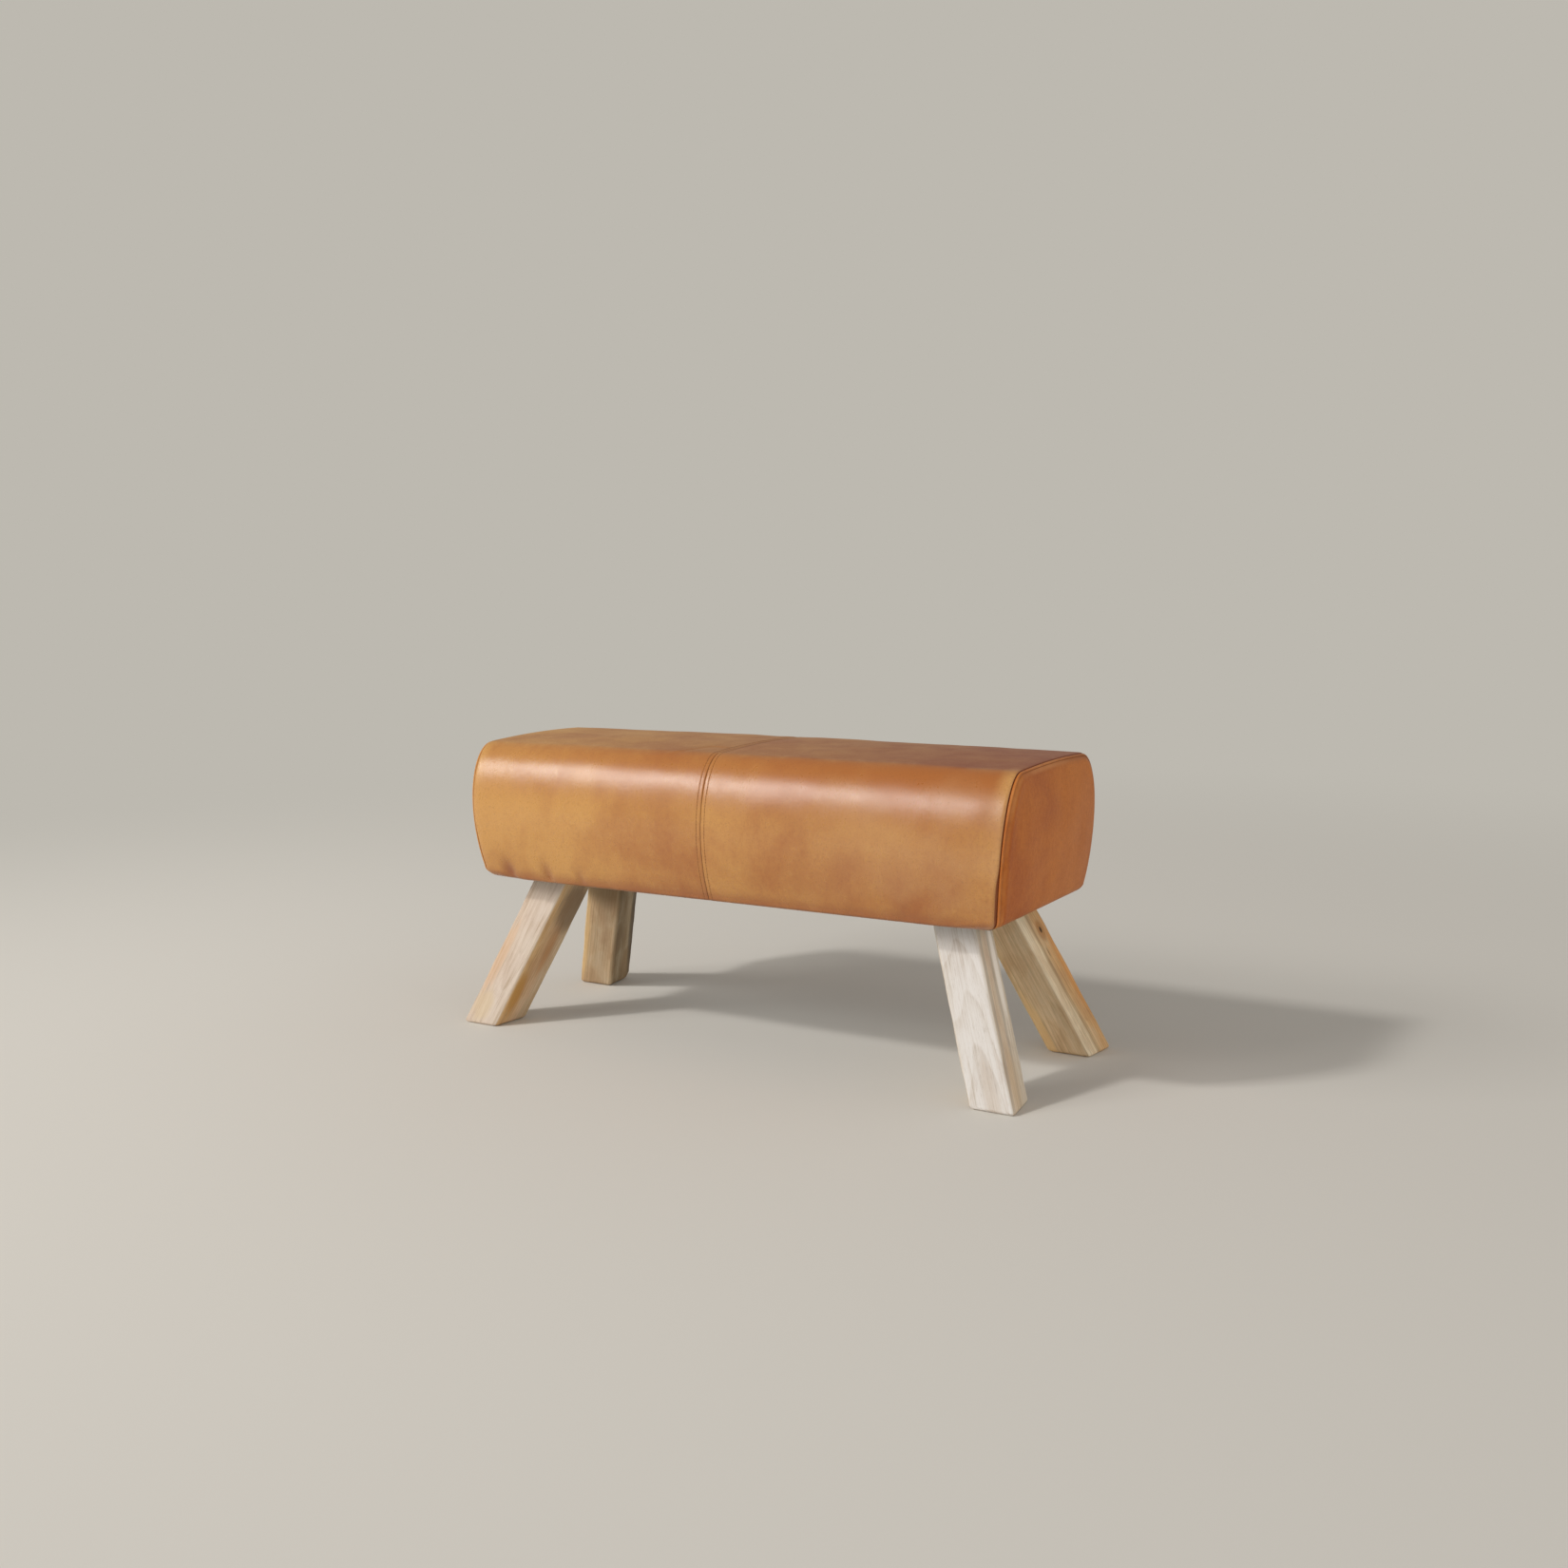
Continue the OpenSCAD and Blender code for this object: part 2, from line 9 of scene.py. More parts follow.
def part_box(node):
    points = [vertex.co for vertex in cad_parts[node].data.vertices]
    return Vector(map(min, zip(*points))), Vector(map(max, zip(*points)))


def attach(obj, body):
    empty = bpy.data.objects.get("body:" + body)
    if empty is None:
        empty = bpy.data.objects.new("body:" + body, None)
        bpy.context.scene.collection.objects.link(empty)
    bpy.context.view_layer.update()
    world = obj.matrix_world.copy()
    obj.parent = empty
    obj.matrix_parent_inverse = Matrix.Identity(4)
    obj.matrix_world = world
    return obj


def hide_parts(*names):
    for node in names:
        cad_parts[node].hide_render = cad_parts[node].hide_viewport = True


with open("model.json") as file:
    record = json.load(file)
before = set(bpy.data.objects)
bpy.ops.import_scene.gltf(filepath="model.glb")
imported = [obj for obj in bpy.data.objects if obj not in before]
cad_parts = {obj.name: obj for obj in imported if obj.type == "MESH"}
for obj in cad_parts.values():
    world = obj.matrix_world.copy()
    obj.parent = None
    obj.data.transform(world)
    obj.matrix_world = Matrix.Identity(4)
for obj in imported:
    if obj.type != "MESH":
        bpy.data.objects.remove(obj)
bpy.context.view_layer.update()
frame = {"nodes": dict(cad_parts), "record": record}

# Legs
# Four lengths of square mango wood stock, cut to a compound angle at the sole and under the seat, and
# washed pale. Long edges and soles are eased by hand, so no edge is quite straight.

stock = 0.065
splay_long = math.radians(22)
splay_cross = math.radians(19)
edge_cut = 0.0049
edge_segments = 5
face_cuts = 9
foot_ease = 0.006
foot_turns = (18, 36, 54, 72, 90)
row_pitch = 0.007
edge_wear = 0.0011
wear_scale = 1.7
wear_bias = 0.3
corner_from = 0.8
face_wave = 0.0003
wave_across = 28
wave_along = 22
ring_pitch = 0.0052
leg_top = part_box("base_board")[0].z
screw_hole_r = 0.0041
screw_hole_sides = 20
screw_depth = 0.0601
screw_edge = 0.021

leg_sole = Vector([abs(c) for c in frame["record"]["mounts"][0]["pos_m"]])
roll_angle = math.atan(math.tan(splay_long) * math.cos(splay_cross))
lean = Matrix.Rotation(splay_cross, 3, "X") @ Matrix.Rotation(-roll_angle, 3, "Y")
grain_way = lean @ Vector((0, 0, 1))


class Value:
    """A socket of a finish's nodes. Sums on values add the Math nodes that work them out."""

    def __init__(self, finish, socket):
        self.finish = finish
        self.socket = socket

    def math(self, operation, *others, clamp=False):
        settings = {"operation": operation, "use_clamp": clamp}
        return self.finish.node("Math", settings, dict(enumerate((self, *others))))

    def __add__(self, other):
        return self.math("ADD", other)

    def __mul__(self, other):
        return self.math("MULTIPLY", other)

    def __sub__(self, other):
        return self.math("SUBTRACT", other)

    def __rsub__(self, other):
        return (self * -1.0).math("ADD", other)

    def __pow__(self, other):
        return self.math("POWER", other)

    __radd__ = __add__
    __rmul__ = __mul__

    def rise(self, low, high):
        """0 below low and 1 above high, with a smooth step between; high may be the smaller one."""
        settings = {"interpolation_type": "SMOOTHSTEP"}
        return self.finish.node("MapRange", settings, {"Value": self, "From Min": low, "From Max": high})


class Finish:
    """A material and its nodes. node() takes a node's type, its settings and what goes into its sockets.
    Colours are six-digit codes."""

    def __init__(self, name, kind=bpy.data.materials):
        self.made = kind.new(name)
        self.made.use_nodes = True
        self.tree = self.made.node_tree
        self.tree.nodes.clear()

    def node(self, kind, settings=None, inputs=None, output=0):
        made = self.tree.nodes.new("ShaderNode" + kind)
        for key, setting in (settings or {}).items():
            if key == "stops":
                stops = made.color_ramp.elements
                while len(stops) < len(setting):
                    stops.new(1)
                for stop, (place, code) in zip(stops, setting):
                    stop.position = place
                    stop.color = hue(code)
            else:
                setattr(made, key, setting)
        for key, value in (inputs or {}).items():
            if isinstance(value, Value):
                self.tree.links.new(value.socket, made.inputs[key])
            else:
                made.inputs[key].default_value = hue(value) if isinstance(value, str) else value
        return Value(self, made.outputs[output]) if made.outputs else None

    def place(self):
        """Where a point lies on the object."""
        return self.node("TexCoord", output="Object")

    def attribute(self, name, output="Fac"):
        return self.node("Attribute", {"attribute_name": name}, output=output)

    def stretched(self, place, scale, offset=(0, 0, 0)):
        return self.node("Mapping", None, {"Vector": place, "Scale": scale, "Location": offset})

    def cloud(self, place, scale, detail=3.0, roughness=0.5, distortion=0.0, offset=(0, 0, 0)):
        """Noise. scale is one number, or one for each axis."""
        if isinstance(scale, tuple):
            place, scale = self.stretched(place, scale, offset), 1
        inputs = {"Vector": place, "Scale": scale, "Detail": detail}
        inputs.update({"Roughness": roughness, "Distortion": distortion})
        return self.node("TexNoise", None, inputs)

    def parts(self, vector):
        split = self.node("SeparateXYZ", None, {"Vector": vector}).socket.node
        return [Value(self, socket) for socket in split.outputs]

    def blend(self, share, a, b, how="MIX"):
        """Colour a, turning to b by share."""
        settings = {"data_type": "RGBA", "blend_type": how}
        return self.node("Mix", settings, {0: share, 6: a, 7: b}, output=2)

    def bands(self, value, stops):
        """Colours along a value from 0 to 1: stops of (place, colour)."""
        return self.node("ValToRGB", {"stops": stops}, {"Fac": value})

    def bump(self, height, distance, strength=1.0):
        return self.node("Bump", None, {"Height": height, "Distance": distance, "Strength": strength})

    def cover(self, **inputs):
        """Ends the nodes with the surface, which takes these sockets, named with _ for each space."""
        named = {key.replace("_", " "): value for key, value in inputs.items()}
        surface = self.node("BsdfPrincipled", None, named)
        self.node("OutputMaterial", None, {"Surface": surface})
        return self.made


def hue(code):
    """A colour from its six-digit code, as the nodes take it."""
    levels = [int(code[k:k + 2], 16) / 255 for k in (0, 2, 4)]
    return tuple(c / 12.92 if c < 0.04045 else ((c + 0.055) / 1.055) ** 2.4 for c in levels) + (1.0,)


def outward(bm):
    """Turns the faces of a closed mesh outwards."""
    bmesh.ops.recalc_face_normals(bm, faces=bm.faces[:])
    if bm.calc_volume(signed=True) < 0:
        bmesh.ops.reverse_faces(bm, faces=bm.faces[:])


def shown(name, bm, finish, replaced=(), smooth=40):
    """Makes a mesh a piece of the seat. Edges sharper than smooth, in degrees, stay crisp."""
    mesh = bpy.data.meshes.new(name)
    bm.to_mesh(mesh)
    bm.free()
    mesh.shade_smooth()
    mesh.set_sharp_from_angle(angle=math.radians(smooth))
    mesh.materials.append(finish)
    piece = bpy.data.objects.new(name + "_dressed" if replaced else name, mesh)
    bpy.context.scene.collection.objects.link(piece)
    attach(piece, "root")
    if replaced:
        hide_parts(*replaced)
    return piece


def on_stock(a, b, height):
    """A point of the leg's section (a, b), carried along the grain to a height above the floor."""
    start = leg_sole + lean @ Vector((a, b, 0))
    return start + grain_way * ((height - start.z) / grain_way.z)


def leg_wood(name, seed, front, side, wash, wash_hue, pith, marks=()):
    """Mango wood. front and side are the colours across those faces, wash how white each of them is. The
    growth rings lie round a pith beside the stock, at (across, deep), that leans by so much of the height,
    so they arch on the faces. marks are stains, knots and patches of painted shade: where, half sizes,
    colour, strength, ragged."""
    wood = Finish(name)
    grain = wood.attribute("stock", "Vector")
    across, deep, along = wood.parts(grain)
    drift = wood.cloud(grain, (16, 16, 7), 2, offset=(seed, seed, seed))
    wander = (drift - 0.5) * 0.016
    on_side = (across.math("ABSOLUTE") - deep.math("ABSOLUTE")).rise(-0.0012, 0.0012)
    on_end = wood.parts(wood.node("NewGeometry", output="Normal"))[2].math("ABSOLUTE").rise(0.93, 0.98)
    front_share = (across + wander) * (1 / stock) + 0.5
    side_share = (deep + wander) * (1 / stock) + 0.5
    tone = wood.blend(on_side, wood.bands(front_share, front), wood.bands(side_share, side))
    from_pith = wood.node("CombineXYZ", None, {
        "X": across + wander - pith[0],
        "Y": deep + wander * 0.6 + along * pith[2] - pith[1],
    })
    radius = wood.node("VectorMath", {"operation": "LENGTH"}, {0: from_pith}, output="Value")
    ring = (radius * (1 / ring_pitch)).math("FRACT")
    late = (ring ** 2.5) * ring.rise(1.0, 0.90)
    streak = wood.cloud(grain, (330, 330, 8), 5, 0.62, offset=(seed, 3, 0))
    fibre = wood.cloud(grain, (1000, 1000, 42), 3, 0.55, offset=(seed, 0, 0))
    pores = wood.cloud(grain, (1700, 1700, 95), 2, 0.5, offset=(0, seed, 0)).rise(0.60, 0.74)
    patch = wood.cloud(grain, (38, 38, 15), 4, 0.58, 0.4, offset=(seed, 5, 1))
    tone = wood.blend(patch.rise(0.40, 0.68) * 0.42, tone, "c19a68", "MULTIPLY")
    tone = wood.blend(patch.rise(0.52, 0.30) * 0.30, tone, "c9bda6")
    tone = wood.blend(streak.rise(0.44, 0.74) * 0.42, tone, "86693f")
    tone = wood.blend(late * 0.26, tone, "70552f")
    tone = wood.blend(fibre.rise(0.48, 0.76) * 0.26, tone, "7a6040")
    white = (1 - on_side) * wash[0] + on_side * wash[1]
    bare = late * 0.30 + streak.rise(0.44, 0.70) * 0.34 + fibre.rise(0.48, 0.76) * 0.22 + pores * 0.24
    white = white * (1.08 - bare - patch.rise(0.40, 0.75) * 0.16)
    tone = wood.blend(white.math("MINIMUM", 1.0), tone, wash_hue)
    tone = wood.blend(pores * 0.16, tone, "6b543c")
    end_grain = wood.blend(late * 0.7 + fibre.rise(0.45, 0.7) * 0.2, "c3aa84", "8d6f49")
    tone = wood.blend(on_end, tone, end_grain)
    for where, half_sizes, colour, strength, ragged in marks:
        scale = tuple(1 / size for size in half_sizes)
        offset = tuple(-at / size for at, size in zip(where, half_sizes))
        away = wood.node("VectorMath", {"operation": "LENGTH"},
                         {0: wood.stretched(grain, scale, offset)}, output="Value")
        away = away + (patch - 0.5) * ragged + (streak - 0.5) * ragged
        tone = wood.blend(away.rise(1.25, 0.55) * strength, tone, colour)
    # The easing rubbed the stain off the long edges, and a painted highlight makes them lighter still
    rubbed_edge_and_highlight = (across.math("ABSOLUTE") + deep.math("ABSOLUTE")).rise(stock - 0.0055, stock - 0.0015)
    tone = wood.blend(rubbed_edge_and_highlight * (0.18 + streak * 0.22), tone, "ddcdb0")
    height = fibre * 0.5 + (1 - pores) * 0.35 + (1 - late) * 0.30
    return wood.cover(
        Base_Color=tone,
        Roughness=0.60 + fibre * 0.14,
        Specular_IOR_Level=0.35,
        Normal=wood.bump(height, 0.00022, 0.5),
    )


def drawn(bm, rim):
    """Extrudes a rim of edges: the new corners, and the new rim."""
    grown = bmesh.ops.extrude_edge_only(bm, edges=rim)["geom"]
    fresh = {v for v in grown if isinstance(v, bmesh.types.BMVert)}
    return fresh, [e for e in grown if isinstance(e, bmesh.types.BMEdge) and set(e.verts) <= fresh]


def leg(name, side_x, side_y, seed, finish, knocks=()):
    """A leg, shaped as the one at the right and the back, and mirrored to its own corner. knocks are the
    corners of its foot that are rubbed off: towards (x, y), how deep and how high."""
    half = stock / 2
    bm = bmesh.new()
    bmesh.ops.create_grid(bm, x_segments=1, y_segments=1, size=half)
    bmesh.ops.bevel(bm, geom=bm.verts[:], offset=edge_cut, segments=edge_segments, profile=0.5,
                    affect="VERTICES", material=-1)
    flats = [e for e in bm.edges if e.calc_length() > half]
    bmesh.ops.subdivide_edges(bm, edges=flats, cuts=face_cuts)
    foot_arc = [foot_ease * (1 - math.cos(math.radians(a))) for a in foot_turns]
    count = round((leg_top - foot_ease) / row_pitch)
    heights = foot_arc + [foot_ease + (leg_top - foot_ease) * k / count for k in range(1, count + 1)]
    rim = bm.edges[:]
    for height in heights:
        fresh, rim = drawn(bm, rim)
        for v in fresh:
            v.co.z = height
    for v in bm.verts:
        a, b, height = v.co
        inset = foot_ease - math.sqrt(foot_ease ** 2 - max(foot_ease - height, 0) ** 2)
        corner = max(abs(a * b) / half ** 2 - corner_from, 0) / (1 - corner_from)
        seen = Vector((a * wave_across + seed, b * wave_across, height * wave_along))
        inset += edge_wear * corner * max(noise.noise(seen * wear_scale) + wear_bias, 0)
        inset += face_wave * noise.noise(seen)
        a -= a * inset / half
        b -= b * inset / half
        for to_x, to_y, bite, tall in knocks:
            way_a, way_b = to_x * side_x, to_y * side_y
            below = max(1 - height / tall, 0)
            past = a * way_a + b * way_b - 2 * half + bite * (1 - math.sqrt(1 - below * below))
            if below and past > 0:
                a -= way_a * past / 2
                b -= way_b * past / 2
        v.co = on_stock(a, b, height)
    # Pilot holes for the two screws that come down through the base board
    top_middle = leg_sole - Vector((math.tan(splay_long), math.tan(splay_cross), 0)) * leg_top
    pitch = stock / math.cos(splay_cross) - 2 * screw_edge
    rims = []
    for k in (-0.5, 0.5):
        x = top_middle.x + math.tan(splay_long) * screw_depth / 2
        y = top_middle.y + math.tan(splay_cross) * screw_depth / 2 + k * pitch
        ring = bmesh.ops.create_circle(bm, segments=screw_hole_sides, radius=screw_hole_r,
                                       matrix=Matrix.Translation((x, y, leg_top)))["verts"]
        rims.append(list({e for v in ring for e in v.link_edges}))
    bmesh.ops.triangle_fill(bm, use_beauty=True, edges=rim + rims[0] + rims[1], normal=(0, 0, 1))
    for rim in rims:
        fresh, bottom = drawn(bm, rim)
        bmesh.ops.translate(bm, verts=list(fresh), vec=(0, 0, -screw_depth))
        bmesh.ops.edgeloop_fill(bm, edges=bottom)
    places = bm.verts.layers.float_vector.new("stock")
    turn_back = lean.inverted()
    for v in bm.verts:
        a, b, along = turn_back @ (v.co - leg_sole)
        v[places] = (a * side_x, b * side_y, along)
        v.co.x *= side_x
        v.co.y *= side_y
    outward(bm)
    piece = shown(name, bm, finish, [name])
    piece.modifiers.new("even shading", "WEIGHTED_NORMAL").keep_sharp = True


leg("leg_front_right", 1, -1, 3.0, leg_wood(
    "washed mango, front right", 3.0,
    front=[(0, "cdbb9c"), (0.3, "c6b7a4"), (0.7, "bfb09d"), (1, "d2c3ad")],
    side=[(0, "dcc196"), (0.09, "b0905f"), (0.2, "efcc95"), (0.42, "e6c592"),
          (0.5, "bda27a"), (0.6, "ead5b0"), (0.86, "e6d0a8"), (1, "d0b488")],
    wash=(0.97, 0.46), wash_hue="e0dbd6", pith=(-0.004, 0.036, -0.055),
    marks=[((0.0325, 0.014, 0.19), (0.02, 0.008, 0.085), "fbf2e6", 0.85, 0.8),
           ((0.0325, -0.006, 0.03), (0.02, 0.018, 0.05), "cfae80", 0.35, 1.4),
           ((0.004, -0.0325, 0.012), (0.012, 0.02, 0.055), "b9a184", 0.30, 1.8)]),
    knocks=[(1, 1, 0.010, 0.012), (-1, -1, 0.006, 0.008)])
leg("leg_front_left", -1, -1, 11.0, leg_wood(
    "washed mango, front left", 11.0,
    front=[(0, "d0ab7a"), (0.35, "cdae8c"), (0.7, "c6ae92"), (1, "c8ae8e")],
    side=[(0, "e2b776"), (0.3, "dcb27c"), (0.6, "dbb78f"), (1, "dac09a")],
    wash=(0.74, 0.14), wash_hue="dacdc1", pith=(0.010, -0.066, -0.05),
    marks=[((-0.022, -0.0325, 0.10), (0.012, 0.02, 0.07), "d4a472", 0.40, 1.6),
           ((-0.012, -0.0325, 0.02), (0.02, 0.02, 0.03), "d3ba90", 0.45, 1.2),
           ((0.0325, -0.018, 0.065), (0.02, 0.012, 0.045), "b8822f", 0.7, 1.5),
           ((0.0325, 0.004, 0.15), (0.02, 0.012, 0.05), "b47c3e", 0.5, 1.6),
           # Painted shade under the seat, darkening the top of the side face
           ((0.0325, 0.012, 0.23), (0.02, 0.03, 0.05), "7b654b", 0.75, 1.0),
           ((0.0325, 0.020, 0.02), (0.02, 0.012, 0.05), "b79f7c", 0.5, 1.2)]),
    knocks=[(1, 1, 0.008, 0.010)])
leg("leg_back_left", -1, 1, 23.0, leg_wood(
    "washed mango, back left", 23.0,
    front=[(0, "e4c08a"), (0.16, "d2b186"), (0.4, "c0a27a"), (0.7, "bc9f7a"),
           (1, "cdb087")],
    # The side colours darken towards the back edge: painted shade along that edge
    side=[(0, "b59a74"), (0.14, "806b4b"), (0.45, "8f7b5b"), (0.7, "a08864"),
          (1, "5f503b")],
    wash=(0.16, 0.06), wash_hue="ded2c0", pith=(0.052, -0.050, 0.03),
    marks=[((-0.028, -0.0325, 0.10), (0.009, 0.02, 0.09), "e0ba80", 0.6, 1.4),
           # Painted shadow of the seat across the top of the front face
           ((0.0, -0.0325, 0.250), (0.08, 0.03, 0.055), "77603f", 0.75, 0.6),
           # Painted shade along the back edge of the side face
           ((0.0325, 0.026, 0.14), (0.02, 0.010, 0.11), "4f4335", 0.6, 0.8)]),
    knocks=[(1, 1, 0.026, 0.022), (-1, -1, 0.008, 0.010)])
leg("leg_back_right", 1, 1, 37.0, leg_wood(
    "washed mango, back right", 37.0,
    front=[(0, "e6c38b"), (0.25, "ddbe92"), (0.65, "d4b58b"), (1, "ccb088")],
    side=[(0, "fdebcb"), (0.33, "fbe5bd"), (0.42, "bd915a"), (0.50, "e2b678"),
          (0.60, "dca04f"), (1, "e0a555")],
    wash=(0.16, 0.24), wash_hue="efe0c4", pith=(0.020, -0.075, 0.03),
    marks=[((-0.024, -0.0325, 0.06), (0.012, 0.02, 0.07), "e0b678", 0.55, 1.5),
           ((0.0325, 0.024, 0.12), (0.02, 0.008, 0.10), "d98f3c", 0.55, 1.4),
           ((0.0325, 0.012, 0.205), (0.02, 0.010, 0.017), "a5692a", 0.6, 1.0),
           ((0.0325, 0.012, 0.205), (0.02, 0.0031, 0.0054), "3a2313", 0.90, 0.6),
           ((0.0325, 0.003, 0.170), (0.02, 0.0011, 0.0090), "7d5426", 0.7, 0.8)]),
    knocks=[(1, 1, 0.009, 0.010)])

# Frame of the seat
# Softwood rails, end boards and a rib between a plywood base and deck, with hardwood cleats over the
# legs. Zinc-plated screws hold it. All of it is hidden under the cover once the seat is finished.


def sawn_wood(name, base, line, scale, ring):
    """Planed boards: base colour, darker grain lines and the stretch of the grain along each axis."""
    wood = Finish(name)
    place = wood.place()
    bend = wood.cloud(place, (9, 9, 9), 2)
    rings = (wood.parts(place)[ring] * 160 + bend * 9).math("FRACT")
    fibre = wood.cloud(place, scale, 4, 0.6)
    tone = wood.blend((rings ** 3.0) * 0.45, base, line)
    tone = wood.blend(fibre.rise(0.45, 0.75) * 0.35, tone, line)
    return wood.cover(Base_Color=tone, Roughness=0.62 + fibre * 0.12, Normal=wood.bump(fibre, 0.0003, 0.4))


def ply(name, base, glue):
    """Plywood: a flamed face veneer, and layers of glue that show on its sawn edges."""
    wood = Finish(name)
    place = wood.place()
    flame = (wood.cloud(place, (2.2, 16, 16), 3, 0.5, 1.2) * 9).math("FRACT")
    fibre = wood.cloud(place, (14, 500, 500), 4, 0.6)
    layers = (wood.parts(place)[2] * (1 / 0.0026)).math("FRACT").rise(0.82, 0.95)
    up = wood.parts(wood.node("NewGeometry", output="Normal"))[2].math("ABSOLUTE").rise(0.6, 0.4)
    tone = wood.blend(flame * 0.3, base, "b98d55")
    tone = wood.blend(fibre.rise(0.45, 0.75) * 0.25, tone, glue)
    tone = wood.blend(layers * up * 0.8, tone, glue)
    return wood.cover(Base_Color=tone, Roughness=0.58 + fibre * 0.12, Normal=wood.bump(fibre, 0.0003, 0.35))


def zinc():
    """Zinc plating, with a faint blue bloom."""
    metal = Finish("zinc plated steel")
    sheen_patch = metal.cloud(metal.place(), 140, 3)
    tone = metal.blend(sheen_patch, "bfc3c6", "a9aeb8")
    return metal.cover(Base_Color=tone, Metallic=1.0, Roughness=0.26 + sheen_patch * 0.2)


def refinish(material, *nodes):
    """Gives CAD parts their finish."""
    for name in nodes:
        for slot in frame["nodes"][name].material_slots:
            slot.material = material


refinish(sawn_wood("pine along", "e0c48f", "b98a4e", (12, 420, 420), 2), "front_rail", "back_rail")
refinish(sawn_wood("pine across", "dfc28b", "b6874c", (420, 12, 420), 2),
         "left_end_board", "right_end_board", "centre_rib")
refinish(sawn_wood("beech", "b98d5c", "8c6236", (420, 12, 420), 0), "left_leg_cleat", "right_leg_cleat")
refinish(ply("birch ply", "dcc190", "8d6737"), "base_board", "top_board")
refinish(zinc(), "leg_screws", "leg_washers", "top_board_screws", "base_board_screws")

# Foam
# Firm seat foam: a thick slab on the deck with rounded shoulders, and thinner sheets glued to the
# rails and the end boards. They set the seat's shape, so the shape is worked out here.

leather_t = 0.002
soft_gap = 0.0003
side_flare = 0.016
side_bow = 0.003
end_flare = 0.0185
shoulder_w = 0.060
shoulder_h = 0.120
top_crown = 0.003
top_bow = 0.002
hem_r = 0.006
end_hem_r = 0.019
end_hem_len = 0.085
flange_w = 0.033
seam_x = -0.018
tape_w = 0.024
tape_t = 0.0008
side_foam_t = 0.015
foam_lip = 0.003
foam_pitch = 0.006
foam_clear = 0.0014
tape_room = 0.0026
tape_blend = 0.006
shoulder_steps = 14
crown_steps = 12
side_steps = 14
# Soft pulls at the lower edge of the front: place along the seat, width, height and depth
pulls = ((-0.424, 0.012, 0.022, 0.0045), (-0.340, 0.009, 0.020, 0.0040), (-0.271, 0.008, 0.018, 0.0030),
         (-0.215, 0.011, 0.012, 0.0012), (0.245, 0.012, 0.012, 0.0012), (0.33, 0.010, 0.014, 0.0014))

wrap_low, wrap_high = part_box("right_wrap")
underside = wrap_low.z
seat_top = wrap_high.z - top_crown - top_bow
shoulder_z = seat_top - shoulder_h
full_x = wrap_high.x + leather_t + soft_gap
low_x = full_x - end_flare
low_y = wrap_high.y - side_flare - side_bow
frame_x, frame_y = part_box("base_board")[1].xy
foam_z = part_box("top_board")[1].z


def level_out(t):
    """Runs from 0 at t = 0 to 1 at t = 1 and levels out there."""
    return 1 - (1 - min(max(t, 0), 1)) ** 2


def reach(z):
    """Half length of the seat at height z."""
    return low_x + end_flare * level_out((z - underside) / (seat_top - underside))


def bow(x):
    """How much of the bow along the seat is left at x."""
    return 1 - (x / full_x) ** 2


def flat_w(x):
    """Half width of the nearly flat part of the top."""
    return low_y + side_flare + side_bow * bow(x) - shoulder_w


def half_w(x, z, inset=0.0):
    """Half width of the seat at x and height z, inset below its surface."""
    if z < shoulder_z:
        low = level_out((z - underside) / (shoulder_z - underside))
        return low_y + (side_flare + side_bow * bow(x)) * low - inset
    up = min((z - shoulder_z) / (shoulder_h - inset + top_bow * bow(x)), 1)
    return flat_w(x) + (shoulder_w - inset) * math.sqrt(1 - up * up)


def fade(value, low, high):
    """0 at low and 1 at high, smooth between."""
    t = min(max((value - low) / (high - low), 0), 1)
    return t * t * (3 - 2 * t)


def outline(x, lap, inset=0.0):
    """Half breadth, height and half length of the seat's skin at x. lap runs from 0 at the folded edge over
    1 and 2 at the hem's foot and head, 3 at the shoulder's foot and 4 at its head, to 5 at mid-breadth."""
    zone = min(int(lap), 4)
    t = lap - zone
    turn_r = hem_r + (end_hem_r - hem_r) * fade(abs(x), full_x - end_hem_len, full_x)
    hem_z = underside + turn_r
    if zone == 0:
        y = low_y - flange_w + (half_w(x, hem_z) - turn_r - low_y + flange_w) * t
        return y, underside + inset, low_x - flange_w + (reach(hem_z) - turn_r - low_x + flange_w) * t
    if zone == 1:
        a = math.radians(90 * t)
        y = half_w(x, hem_z) - turn_r + (turn_r - inset) * math.sin(a)
        z = hem_z - (turn_r - inset * (1 - t)) * math.cos(a)
        return y, z, reach(hem_z) - turn_r * (1 - math.sin(a))
    if zone == 2:
        z = hem_z + (shoulder_z - hem_z) * t
        return half_w(x, z, inset), z, reach(z)
    rise = shoulder_h - inset + top_bow * bow(x)
    if zone == 3:
        a = math.radians(90 * t)
        z = shoulder_z + rise * math.sin(a)
        return flat_w(x) + (shoulder_w - inset) * math.cos(a), z, reach(z)
    return flat_w(x) * (1 - t), shoulder_z + rise + top_crown * level_out(t), full_x


def hump(off, half):
    """1 at off = 0, falling to a third at half."""
    return math.exp(-((off / half) ** 2))


def pulled(x, z):
    """How far the pulls draw the front in, at x and height z."""
    deep = 0.0
    for where, width, tall, depth in pulls:
        up = max((z - underside) / tall - 0.35, 0)
        deep += depth * math.exp(-((x - where) / width) ** 2 - up * up)
    return deep


def spread(low, high, count):
    """Places from low to high in equal steps, without the last."""
    return [low + (high - low) * k / count for k in range(count)]


def mould(rows, cols, place):
    """A sheet of rows by cols, each corner laid at place(row, col), and the (row, col) of each corner."""
    bm = bmesh.new()
    bmesh.ops.create_grid(bm, x_segments=rows - 1, y_segments=cols - 1, size=1)
    bm.verts.index_update()
    corners = []
    for v in bm.verts:
        i = round((v.co.x + 1) / 2 * (rows - 1))
        j = round((v.co.y + 1) / 2 * (cols - 1))
        corners.append((i, j))
        v.co = place(i, j)
    return bm, corners


